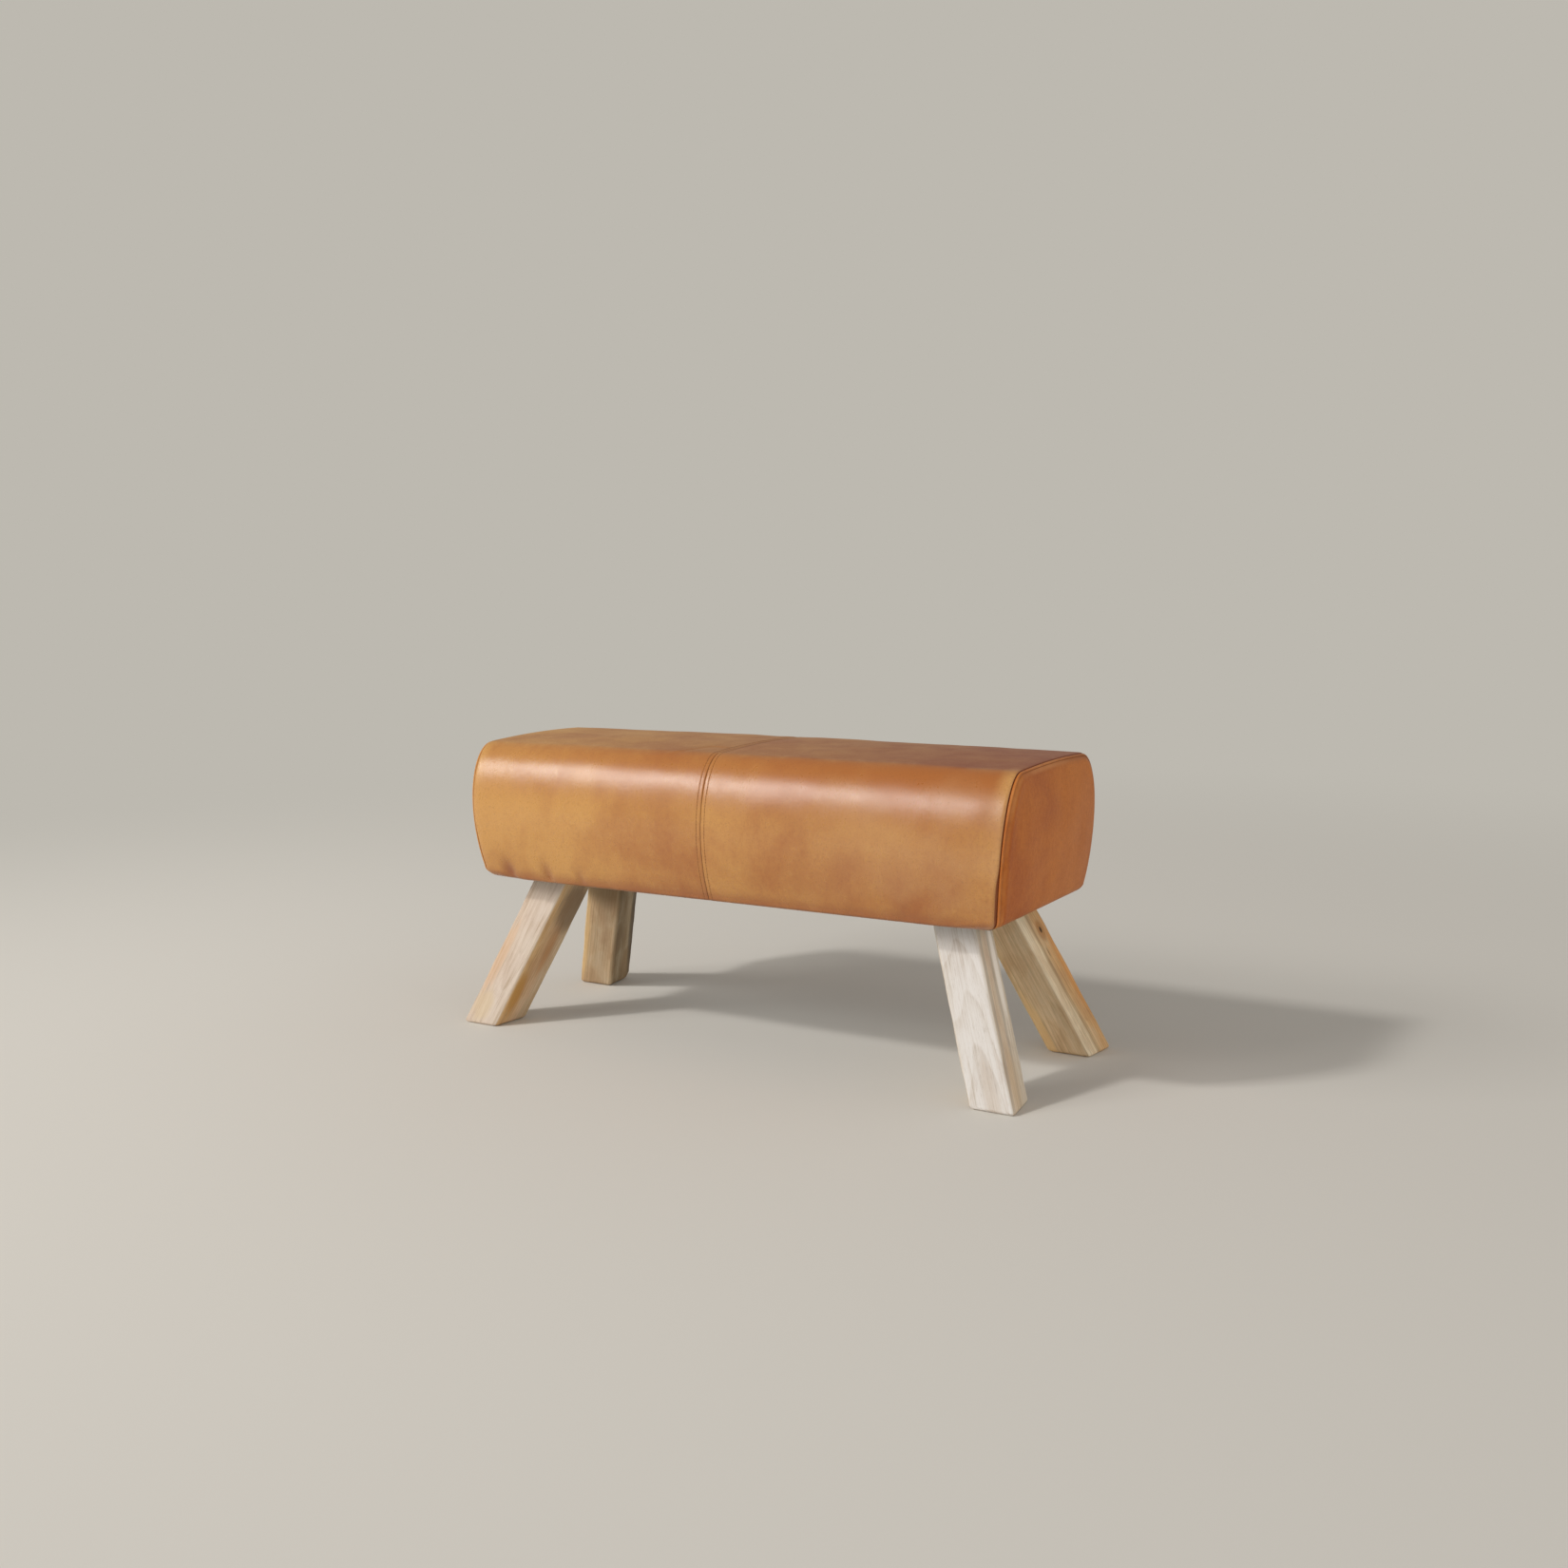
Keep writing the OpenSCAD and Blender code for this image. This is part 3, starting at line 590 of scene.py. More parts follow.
def on_board(bm, lay):
    """Fills the space between a moulded face and the board behind it. lay moves a corner to the board."""
    grown = bmesh.ops.extrude_face_region(bm, geom=bm.faces[:], use_keep_orig=True)["geom"]
    for v in grown:
        if isinstance(v, bmesh.types.BMVert):
            v.co = lay(v.co)
    outward(bm)
    return bm


def foam():
    """Open-celled foam, yellowed a little."""
    soft = Finish("seat foam")
    cells = soft.node("TexVoronoi", {"feature": "F1"}, {"Vector": soft.place(), "Scale": 900})
    age = soft.cloud(soft.place(), 6, 3)
    tone = soft.blend(age, "efe6bd", "e4d49a")
    tone = soft.blend(cells.rise(0.5, 0.1) * 0.35, tone, "b9a66c")
    return soft.cover(Base_Color=tone, Roughness=0.95, Normal=soft.bump(cells, 0.0006, 0.7))


seat_foam = foam()
foam_xs = spread(-frame_x, frame_x, round(2 * frame_x / foam_pitch)) + [frame_x]


def foam_inset(x):
    """How far the foam stays below the skin: deeper behind the seam tape."""
    behind_tape = 1 - level_out((abs(x - seam_x) - tape_w / 2) / tape_blend)
    return leather_t + 2 * soft_gap + foam_clear + (tape_t + tape_room) * behind_tape


def top_foam():
    lip_z = foam_z + foam_lip
    turns = spread(0, 90, shoulder_steps) + [90]
    half_count = len(turns) + crown_steps
    count = 2 * half_count - 1

    def place(i, j):
        x = foam_xs[i]
        inset = foam_inset(x)
        side = -1 if j < half_count else 1
        k = j if j < half_count else count - 1 - j
        if k < len(turns):
            z = lip_z + (outline(x, 4, inset)[1] - lip_z) * math.sin(math.radians(turns[k]))
            return Vector((x, side * half_w(x, z, inset), z))
        y, z, _ = outline(x, 4 + (k - len(turns) + 1) / crown_steps, inset)
        return Vector((x, side * y, z))

    bm, _ = mould(len(foam_xs), count, place)
    return on_board(bm, lambda co: Vector((co.x, co.y, foam_z)))


def side_foam(side):
    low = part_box("base_board")[0].z + soft_gap
    tall = foam_z - low - hem_r - soft_gap
    heights = [low] + [low + hem_r + tall * k / side_steps for k in range(side_steps + 1)]

    def place(i, j):
        x = foam_xs[i]
        z = heights[j]
        y = half_w(x, z, foam_inset(x)) - (pulled(x, z) if side < 0 else 0)
        if j == 0:
            y = frame_y + side_foam_t - hem_r
        return Vector((x, side * y, z))

    bm, _ = mould(len(foam_xs), len(heights), place)
    return on_board(bm, lambda co: Vector((co.x, side * frame_y, co.z)))


for name, bm in (("top_foam", top_foam()), ("front_foam", side_foam(-1)), ("back_foam", side_foam(1))):
    shown(name, bm, seat_foam, [name])

# Seam tape
# A strip of woven black tape behind the middle seam. Both rows of topstitching go through it, and it
# keeps the two hides from pulling apart.

seam_dip = 0.0010
seam_dip_half = 0.0007
trough = 0.0003
trough_half = 0.004
sag = 0.0003
sag_half = 0.018
stitch_row = 0.0072
valley = 0.0003
valley_half = 0.0012
lap_step = 0.01
tape_clear = 0.0003
tape_steps = 16


def seam_sink(off):
    """How deep the leather lies beside the middle seam: the seam, the stitched valley, a trough, a sag."""
    seam = seam_dip * math.exp(-((off / seam_dip_half) ** 1.4))
    row = valley * hump(off - stitch_row, valley_half)
    return seam + row + trough * hump(off, trough_half) + sag * max(1 - off / sag_half, 0)


def skin(x, lap, side, inset=0.0, lift=0.0):
    """The seat's skin at x, on the front (side -1) or the back (1), inset below it, and lifted off it."""
    y, z, half = outline(x, lap, inset)
    if lift:
        step = lap_step if lap < 5 - lap_step else -lap_step
        y2, z2, _ = outline(x, lap + step, inset)
        way = Vector((0, y2 - y, z2 - z)) * math.copysign(1, step)
        if way.length > 1e-9:
            way.normalize()
            y += lift * way.z
            z -= lift * way.y
    return Vector((x * half / full_x, side * y, z))


def laps(counts):
    """Laps from the folded edge to mid-breadth, with so many steps in each zone, and the side of each."""
    half = [zone + k / n for zone, n in enumerate(counts) for k in range(n)]
    return [(lap, -1) for lap in half] + [(5, -1)] + [(lap, 1) for lap in reversed(half)]


def black_tape():
    """Black woven tape."""
    cloth = Finish("black tape")
    threads = {"Vector": cloth.place(), "Scale": 420, "Distortion": 2}
    weave = cloth.node("TexWave", {"wave_type": "BANDS"}, threads)
    tone = cloth.blend(weave, "1c1a19", "2d2a28")
    return cloth.cover(Base_Color=tone, Roughness=0.85, Normal=cloth.bump(weave, 0.0002, 0.5))


tape_laps = [place for place in laps((3, 5, 14, 20, 10)) if place[0] >= 2]
tape_places = spread(-tape_w / 2, tape_w / 2, tape_steps) + [tape_w / 2]


def running(points):
    """Length along a line of points, at each of them."""
    lengths = [0.0]
    for k in range(1, len(points)):
        lengths.append(lengths[-1] + (points[k] - points[k - 1]).length)
    return lengths


def thicken(piece, thickness, offset=0):
    """Gives a sheet its thickness: on both sides at offset 0, inwards at -1."""
    thick = piece.modifiers.new("thickness", "SOLIDIFY")
    thick.thickness = thickness
    thick.offset = offset
    return thick


def tape_corner(i, j):
    off = tape_places[j]
    lap, side = tape_laps[i]
    under = leather_t + soft_gap / 2 + tape_t / 2 + seam_sink(0) + tape_clear
    return skin(seam_x + off, lap, side, lift=-under)


bm, _ = mould(len(tape_laps), len(tape_places), tape_corner)
tape_length = running([tape_corner(i, tape_steps // 2) for i in range(len(tape_laps))])[-1]
tape = shown("seam_tape", bm, black_tape(), ["seam_tape"])
thicken(tape, tape_t)

# Wraps
# Two hides of vegetable-tanned leather, 2 mm thick, sewn together in the middle. They go over the
# front, the top and the back, are folded under the seat, and roll in at the end seams.

edge_roll = 0.0024
edge_roll_len = 0.0050
# How far the roll stops short of the panel, at the left and at the right end
seam_open = {-1: 0.00078, 1: 0.0026}
roll_turns = (12, 25, 38, 50, 61, 71, 79, 85, 89)
turned_in = (0.0009, 0.0020, 0.0032)
ridge_offs = (0.00015, 0.0004, 0.0007, 0.0011, 0.0016, 0.0022, 0.003, 0.004, 0.005, 0.0058, 0.0063, 0.0068,
              0.0072, 0.0075, 0.0078, 0.0082, 0.0087, 0.0095, 0.0108, 0.0125, 0.015, 0.018)
hide_pitch = 0.0046
hide_clear = 0.0001
pared = 0.35
slow_scale = 9.0
slow_relief = 0.0011
quick_scale = 24.0
quick_relief = 0.00045
crease_rise = 0.0014
crease_half = 0.0042
hollow = 0.0006
hollow_at = 0.010
hollow_half = 0.005
stain_half = 0.0006
pull_full = 0.0036
pull_wide = 1.3
pull_tall = 1.4
wrap_laps = laps((5, 9, 23, 34, 27))
# A crease that runs along the front of the top to the middle seam, as points on the seat
crease = [Vector(p) for p in ((-0.150, -0.138, 0.460), (-0.106, -0.129, 0.464), (-0.086, -0.110, 0.469),
                              (-0.076, -0.078, 0.470), (-0.062, -0.062, 0.471), (-0.042, -0.064, 0.471),
                              (-0.027, -0.071, 0.471))]


def from_crease(point):
    """Distance from the crease, and the share of its length at the nearest place."""
    best = (1.0, 0.0)
    for k in range(len(crease) - 1):
        start, end = crease[k], crease[k + 1]
        way = end - start
        t = min(max((point - start).dot(way) / way.length_squared, 0), 1)
        gap = (point - start - way * t).length
        if gap < best[0]:
            best = (gap, (k + t) / (len(crease) - 1))
    return best


def relief(point, x, lap, side):
    """How far the worked leather stands out from, or sinks below, the plain form."""
    quiet = fade(full_x - abs(x), 0.010, 0.045) * fade(abs(x - seam_x), 0.012, 0.04) * fade(lap, 1.0, 2.2)
    slow = noise.noise(point * slow_scale) * slow_relief
    quick = noise.noise(point * quick_scale + Vector((7, 3, 5))) * quick_relief
    out = (slow + quick) * quiet
    if side < 0 and 0.9 < lap < 3:
        out -= pulled(x, point.z) * fade(lap, 1, 1.7)
    if -0.17 < x < -0.02 and side < 0 and lap > 3.4:
        gap, share = from_crease(point)
        strength = fade(share, 0, 0.45) * fade(share, 1.0, 0.93)
        out += strength * crease_rise * hump(gap, crease_half)
        out -= strength * hollow * hump(gap - hollow_at, hollow_half)
    return out


def leather(name, golden, brown, crest, seed, painted_sheen=0.0, dyed=0.0, gloss=0.95, matt=0.0):
    """Vegetable-tanned leather with a waxy pull-up finish: lighter where it is stretched and darker at its
    seams, with a painted highlight on rims that face the lamp, and pale patches of painted sheen at the
    right, as strong as asked. dyed is how much browner the hide is lower down there, and gloss and matt
    how light lies on it."""
    hide = Finish(name)
    place = hide.place()
    offset = (seed, seed * 0.7, seed * 0.3)
    cloudy = hide.cloud(place, (5, 5, 6), 3, 0.55, 0.4, offset=offset)
    mottled = hide.cloud(place, (22, 22, 9), 4, 0.6, 0.3, offset=offset)
    freckled = hide.cloud(place, (190, 190, 130), 4, 0.65, offset=offset)
    pebble = hide.node("TexVoronoi", {"feature": "DISTANCE_TO_EDGE"}, {"Vector": place, "Scale": 700})
    fine = hide.cloud(place, 1500, 2, 0.5)
    seam = hide.attribute("seam")
    stretch = hide.attribute("stretch")
    share = cloudy.rise(0.34, 0.70) * 0.58 + mottled.rise(0.33, 0.72) * 0.26 + (freckled - 0.5) * 0.75
    end_ward, _, height = hide.parts(place)
    share = share + end_ward * 0.34 - 0.08
    share = share + height.rise(0.40, 0.28) * end_ward.rise(-0.28, 0.05) * dyed
    tone = hide.blend(share.math("ADD", 0.0, clamp=True), golden, brown)
    # The top is darker, partly worn from sitting and partly painted shade, the more so at the right. The
    # shoulders are rubbed to a warm orange and darkened with painted shade where they turn up.
    worn = (hide.attribute("worn") + (mottled - 0.5) * 0.5 + (cloudy - 0.5) * 0.4).rise(0.12, 0.88)
    tone = hide.blend(worn * (0.22 + mottled * 0.55 + end_ward * 0.95), tone, "8a4110")
    tone = hide.blend(stretch * (0.46 + mottled * 0.50 + end_ward * 0.70), tone, "a96120")
    # Pale pinkish patches at the right, below the top: a painted sheen, the milky haze of the wide lamp
    sheen_patch = hide.cloud(place, (7, 7, 10), 2, offset=(seed, 2, 9)).rise(0.42, 0.62)
    sheen_patch = sheen_patch * end_ward.rise(0.08, 0.34) * (1 - worn)
    tone = hide.blend(sheen_patch * painted_sheen, tone, "c69666")
    # Darker towards the bottom, with painted shade in the dimples of the pulls and along the shaded far rims
    # of the panels
    tone = hide.blend(hide.attribute("low") * (0.50 + mottled * 0.5), tone, "975323")
    specks = hide.cloud(place, 430, 3, 0.6)
    tone = hide.blend(specks.rise(0.50, 0.72) * 0.30, tone, "7d4519")
    # Scars and insect bites, a few to a hide
    strewn = hide.stretched(place, (1, 1, 1), offset)
    bites = hide.node("TexVoronoi", {"feature": "F1"}, {"Vector": strewn, "Scale": 15})
    tone = hide.blend(bites.rise(0.022, 0.010) * 0.55, tone, "5b3013")
    # Folded edges are stretched, and the wax pulls up lighter there, with a painted highlight on top: most
    # on the right panel's rim towards the lamp
    tone = hide.blend(hide.attribute("crest") * mottled.rise(0.30, 0.65), tone, crest)
    tone = hide.blend(seam * 0.85, tone, "8a4218")
    grain = pebble.rise(0.0, 0.35) * 0.6 + fine * 0.5 + freckled * 0.5
    shine = 0.27 + (mottled - 0.5) * 0.10 + (freckled - 0.5) * 0.12 + fine * 0.04
    return hide.cover(
        Base_Color=tone,
        Roughness=shine + matt + seam * 0.3 + worn * 0.2,
        Specular_IOR_Level=gloss,
        Normal=hide.bump(grain, 0.00009, 0.5),
    )


def lay_uv(bm, corners, along, girth):
    """Keeps the flat cut of a hide as its UV map, in metres."""
    layer = bm.loops.layers.uv.new("hide")
    for face in bm.faces:
        for loop in face.loops:
            i, j = corners[loop.vert.index]
            loop[layer].uv = (along[i], girth[j])


def skive(piece, corners, thin):
    """Gives leather its thickness inwards, pared thinner where thin(i, j) is below 1."""
    group = piece.vertex_groups.new(name="full thickness")
    for index, (i, j) in enumerate(corners):
        group.add([index], thin(i, j), "REPLACE")
    thick = thicken(piece, leather_t - hide_clear, -1)
    thick.vertex_group = "full thickness"
    thick.thickness_vertex_group = pared


def roll_left(lap):
    """How much of the roll beside the end seams is left: it eases over the shoulder."""
    return 1 - 0.45 * fade(lap, 3.4, 4.0)


def masks(bm, *names):
    """Layers of shares at the corners, which the leather's finish reads."""
    return [bm.verts.layers.float.new(name) for name in names]


def facing(bm, rank, way):
    """Turns the faces of an open sheet so that the one of the highest rank looks along way."""
    bmesh.ops.recalc_face_normals(bm, faces=bm.faces[:])
    if max(bm.faces, key=rank).normal.dot(way) < 0:
        bmesh.ops.reverse_faces(bm, faces=bm.faces[:])


def wrap_cut(side):
    """Places along one hide from the middle seam to its end, as (x, inset)."""
    roll_start = full_x - edge_roll_len
    middle = [(seam_x + side * off, 0.0) for off in ridge_offs]
    span_start = middle[-1][0]
    span = abs(side * roll_start - span_start)
    count = round(span / hide_pitch)
    plain = [(span_start + side * span * k / count, 0.0) for k in range(1, count + 1)]
    rolled = []
    for turn in roll_turns:
        a = math.radians(turn)
        x = roll_start + (edge_roll_len - soft_gap / 2) * math.sin(a)
        rolled.append((side * x, edge_roll * (1 - math.cos(a))))
    end_x = side * (full_x - soft_gap / 2)
    folded = [(end_x, edge_roll)] + [(end_x, edge_roll + deep) for deep in turned_in]
    return middle + plain + rolled + folded


def wrap(name, side, seed):
    cut = wrap_cut(side)

    def place(i, j):
        x, inset = cut[i]
        lap, back = wrap_laps[j]
        settled = fade(lap, 1.0, 2.2)
        # Lower down the seam opens a little: the roll ends short of it and slants in to the panel
        ease = seam_open[side] * fade(lap, 2.95, 2.5) * fade(lap, 1.2, 2.1)
        ease *= fade(full_x - abs(x), 0.022, 0.002)
        if inset > edge_roll:
            ease *= 1 - (inset - edge_roll) / turned_in[-1]
            inset = edge_roll + (inset - edge_roll) * (0.15 + 0.85 * settled)
        x -= side * ease
        inset *= roll_left(lap)
        plain = skin(x, lap, back)
        sink = seam_sink(abs(x - seam_x)) * (0.25 + 0.75 * fade(lap, 0.9, 1.8))
        return skin(x, lap, back, inset, relief(plain, x, lap, back) - sink)

    bm, corners = mould(len(cut), len(wrap_laps), place)
    middle_row = len(cut) // 2
    along = running([place(i, len(wrap_laps) // 2) for i in range(len(cut))])
    girth = running([place(middle_row, j) for j in range(len(wrap_laps))])
    lay_uv(bm, corners, along, girth)
    seam, stretch, worn, low, crest = masks(bm, "seam", "stretch", "worn", "low", "crest")
    for v in bm.verts:
        i, j = corners[v.index]
        x, inset = cut[i]
        lap, back = wrap_laps[j]
        end = full_x - abs(x)
        row = hump(abs(x - seam_x) - stitch_row, stain_half)
        middle = hump(x - seam_x, stain_half)
        v[seam] = max(0.28 * middle, 0.12 * row, fade(inset, edge_roll * 0.45, edge_roll))
        # Lighter towards the end seams below the shoulder: pull-up, with a painted highlight
        v[crest] = 0.35 * fade(end, 0.016, 0.003) * fade(lap, 3.6, 2.9) * (1 - v[seam])
        # The shoulder band and the top are darkened in part as painted shade
        v[stretch] = fade(lap, 3.12, 3.45) * fade(lap, 4.02, 3.8) * fade(end, 0.0, 0.03)
        v[worn] = fade(lap, 3.45, 4.25)
        # Darker towards the bottom, and painted shade in the dimples of the pulls on the front
        v[low] = fade(v.co.z, underside + 0.024, underside + 0.002)
        if back < 0:
            for where, width, tall, depth in pulls:
                up = max(v.co.z - underside - tall * 0.3, 0) / tall / pull_tall
                beside = (x - where) / width / pull_wide
                v[low] = max(v[low], depth / pull_full * math.exp(-beside ** 2 - up * up))
    facing(bm, lambda f: f.calc_center_median().z, Vector((0, 0, 1)))
    material = leather(name.replace("_", " "), "cb944c", "a7632a", "d8a468", seed, painted_sheen=0.28, dyed=0.36)
    piece = shown(name, bm, material, [name], smooth=80)
    skive(piece, corners, lambda i, j: 1 if 2 < i < len(cut) - len(roll_turns) - 2 else 0)
    return piece


wrap("left_wrap", -1, 4.0)
wrap("right_wrap", 1, 9.0)

# End panels
# A leather panel closes each end. Its edge is folded back on itself and topstitched, so a narrow strip
# stands proud beside the seam. Foam behind it gives the panel its crown.

fold_r = 0.0019
strip_w = 0.0031
panel_crown = 0.006
panel_stand = 0.0062
panel_gap = 0.0003
rib_start = 0.018
rib_steps = 14
spine_drop = 0.080
panel_laps = laps((4, 7, 24, 34, 16))
# Columns of the panel, from its folded end inwards
closing_cols = 8
girth_col = 12
strip_from = 13
pared_cols = 16
calm_from = 24
calm_cols = 8
# Slow and quick waves of the panel: scale and height
panel_waves = ((10, 0.0013), (26, 0.0004))
merge_dist = 1e-5
end_foam_steps = (0.0, 0.006, 0.014, 0.022)
end_foam_ribs = 7
end_foam_in = 0.0035
end_foam_clear = 0.0008
end_foam_turn = 0.004


def panel_profile():
    """The panel's edge as (distance in, distance out): folded end, fold, strip and stitched valley."""
    points = [(0.0042, 0.00015), (0.0030, 0.00015)]
    for turn in range(0, 181, 15):
        a = math.radians(turn)
        points.append((fold_r * (1 - math.sin(a)), 0.00015 + fold_r * (1 - math.cos(a))))
    points += [(0.0023, 0.0038), (0.0027, 0.0034), (strip_w, 0.0032), (0.0035, 0.0034), (0.0040, 0.0039),
               (0.0048, 0.0045), (0.0058, 0.0051), (0.0071, 0.0056), (0.0087, 0.0060), (0.0107, 0.0063),
               (0.0130, 0.00645), (0.0155, 0.0064), (rib_start, panel_stand)]
    return points


profile = panel_profile()
panel_cols = len(profile) + rib_steps


def swell(y, z):
    """How far the foam swells the middle of the panel out."""
    across = y / half_w(full_x, shoulder_z)
    up = 2 * (z - underside) / (seat_top - underside) - 1
    return panel_crown * max(1 - across ** 4, 0) * max(1 - up ** 4, 0)


def rib_line():
    """Each rib's start on the panel's edge, its way inwards and its end on the panel's middle line."""
    edge = []
    for lap, side in panel_laps:
        y, z, _ = outline(full_x, lap, edge_roll * roll_left(lap) + panel_gap)
        edge.append(Vector((side * y, z)))
    lengths = running(edge)
    first = next(k for k, (lap, _) in enumerate(panel_laps) if lap >= 2)
    middle = len(edge) // 2
    spine_top = seat_top - spine_drop
    found = []
    for k, (lap, side) in enumerate(panel_laps):
        if lap <= 2:
            found.append((edge[k], Vector((-side, 0)), Vector((0, edge[k].y))))
            continue
        way = edge[k + 1] - edge[k - 1]
        inward = Vector((way.y, -way.x)).normalized()
        mirrored = min(k, len(edge) - 1 - k)
        share = (lengths[mirrored] - lengths[first]) / (lengths[middle] - lengths[first])
        foot = edge[first].y
        found.append((edge[k], inward, Vector((0, foot + (spine_top - foot) * share))))
    return found


ribs = rib_line()


def panel_place(i, j, side, seed):
    """Corner of an end panel: rib i, step j."""
    start, inward, end = ribs[i]
    lap, _ = panel_laps[i]
    stand = 1.0 if lap >= 2 else math.sin(math.radians(90 * max(lap - 1, 0)))
    if j < len(profile):
        deep, out = profile[j]
        if j < closing_cols:
            deep *= 0.04 + 0.96 * stand
        flat = start + inward * deep
    else:
        flat = (start + inward * rib_start).lerp(end, (j - len(profile) + 1) / rib_steps)
        out = panel_stand
    y, z = flat
    out += swell(y, z) * min(out / panel_stand, 1)
    half = reach(z) if lap >= 2 else outline(full_x, lap, 0)[2]
    calm = min(max(j - calm_from, 0) / calm_cols, 1) * stand
    seen = Vector((seed, y, z))
    out += calm * sum(noise.noise(seen * scale) * height for scale, height in panel_waves)
    return Vector((side * (half + out * stand), y, z))


def join_middle(bm):
    """Joins the corners that meet on the middle line."""
    middle_line = [v for v in bm.verts if abs(v.co.y) < merge_dist]
    bmesh.ops.remove_doubles(bm, verts=middle_line, dist=merge_dist)


def end_panel(name, side, seed):
    bm, corners = mould(len(ribs), panel_cols, lambda i, j: panel_place(i, j, side, seed))
    girth = running([panel_place(i, girth_col, side, seed) for i in range(len(ribs))])
    across = running([panel_place(len(ribs) // 2, j, side, seed) for j in range(panel_cols)])
    lay_uv(bm, corners, girth, across)
    # The panels have neither the shoulder band nor the darker top, so those two stay 0
    _, _, low, crest, seam = masks(bm, "stretch", "worn", "low", "crest", "seam")
    numbers = bm.verts.layers.int.new("number")
    for v in bm.verts:
        i, j = corners[v.index]
        deep = profile[j][0] if j < len(profile) else 1.0
        fold = 1 - fade(j, 3, 9)
        v[seam] = max(fold, 0.55 * hump(deep - strip_w, 0.0005) if j >= strip_from else 0)
        # Painted light: the right panel's rim is lighter towards the lamp at the front, a painted highlight,
        # and both panels' rims turn darker towards the back, a painted shade
        shaded = fade(v.co.y, -0.06, 0.12)
        v[crest] = (0.8 - 0.55 * shaded if side > 0 else 0.25) * fade(deep, 0.0105, 0.006) * (1 - v[seam])
        v[low] = 0.05 * fade(v.co.z, underside + 0.022, underside + 0.002)
        v[low] = max(v[low], shaded * fade(deep, 0.012, 0.003))
        v[numbers] = v.index
    join_middle(bm)
    facing(bm, lambda f: f.calc_area(), Vector((side, 0, 0)))
    kept = [corners[v[numbers]] for v in bm.verts]
    bm.verts.layers.int.remove(numbers)
    tones = ("ca7621", "a34c16", "cf8848") if side > 0 else ("cb8c44", "a7602a", "d8a060")
    material = leather(name.replace("_", " "), *tones, seed, gloss=0.3, matt=0.12)
    piece = shown(name, bm, material, [name], smooth=80)
    skive(piece, kept, lambda i, j: 0.4 if j < pared_cols else 1)


end_panel("right_end_panel", 1, 2.0)
end_panel("left_end_panel", -1, 6.0)


def end_foam(side):
    """Foam behind an end panel, from its crown to the end board."""
    laps_used = [k for k, (lap, _) in enumerate(panel_laps) if lap >= 2 and k % 2 == 0]
    last = len(end_foam_steps) - 1

    def place(i, j):
        start, inward, end = ribs[laps_used[i]]
        at = start + inward * (end_foam_in + end_foam_steps[min(j, last)])
        if j > last:
            at = at.lerp(end, (j - last) / end_foam_ribs)
        y, z = at
        turn = end_foam_turn if j == 0 else 0.0
        return Vector((side * (reach(z) - leather_t - end_foam_clear - turn + swell(y, z)), y, z))

    bm, _ = mould(len(laps_used), len(end_foam_steps) + end_foam_ribs, place)
    join_middle(bm)
    return on_board(bm, lambda co: Vector((side * frame_x, co.y, co.z)))


for name, side in (("right_end_foam", 1), ("left_end_foam", -1)):
    shown(name, end_foam(side), seat_foam, [name])

# Stitching
# Waxed brown thread: two rows of topstitching beside the middle seam, and one row round each end
# panel. Each stitch is a short bar of thread that dips into its holes.

stitch_pitch = 0.0048
stitch_len = 0.0037
thread_r = 0.00036
seam_row_start = 0.8
panel_row_start = 1.3


def thread():
    """Waxed thread, twisted."""
    yarn = Finish("waxed thread")
    twist = yarn.cloud(yarn.place(), 1800, 2)
    tone = yarn.blend(twist, "74461f", "9a6636")
    return yarn.cover(Base_Color=tone, Roughness=0.5, Normal=yarn.bump(twist, 0.0002, 0.5))


brown_thread = thread()


def paced(points, outs, pitch):
    """Places at equal steps along a line: (middle, way along, way out)."""
    lengths = running(points)
    found = []
    k = 0
    count = int(lengths[-1] / pitch)
    margin = (lengths[-1] - count * pitch) / 2
    for n in range(count):
        at = margin + (n + 0.5) * pitch
        while lengths[k + 1] < at:
            k += 1
        t = (at - lengths[k]) / (lengths[k + 1] - lengths[k])
        found.append((points[k].lerp(points[k + 1], t), (points[k + 1] - points[k]).normalized(), outs[k]))
    return found


def sew(name, rows):
    """One piece with a stitch at each place of its rows."""
    bm = bmesh.new()
    for points, outs in rows:
        for middle, way, out in paced(points, outs, stitch_pitch):
            sideways = out.cross(way).normalized()
            turn = Matrix((sideways, out, way)).transposed().to_4x4()
            size = Matrix.Diagonal((thread_r, thread_r, stitch_len / 2, 1))
            bmesh.ops.create_uvsphere(bm, u_segments=6, v_segments=5, radius=1,
                                      matrix=Matrix.Translation(middle) @ turn @ size)
    return shown(name, bm, brown_thread, smooth=180)


def seam_row(off):
    """Line of a row of topstitching beside the middle seam."""
    line = [place for place in laps((6, 10, 30, 60, 30)) if place[0] >= seam_row_start]
    sink = seam_sink(abs(off)) - thread_r / 2
    points = [skin(seam_x + off, lap, side, lift=-sink) for lap, side in line]
    raised = [skin(seam_x + off, lap, side, lift=0.001) for lap, side in line]
    flat = [skin(seam_x + off, lap, side) for lap, side in line]
    return points, [(high - low).normalized() for high, low in zip(raised, flat)]


def panel_row(side, seed):
    """Line of the topstitching round an end panel."""
    column = next(k for k, (deep, _) in enumerate(profile) if deep == strip_w)
    points = []
    for i, (lap, _) in enumerate(panel_laps):
        if lap >= panel_row_start:
            points.append(panel_place(i, column, side, seed) + Vector((side * thread_r / 2, 0, 0)))
    return points, [Vector((side, 0, 0))] * len(points)


sew("middle_stitching", [seam_row(-stitch_row), seam_row(stitch_row)])
sew("right_end_stitching", [panel_row(1, 2.0)])
sew("left_end_stitching", [panel_row(-1, 6.0)])

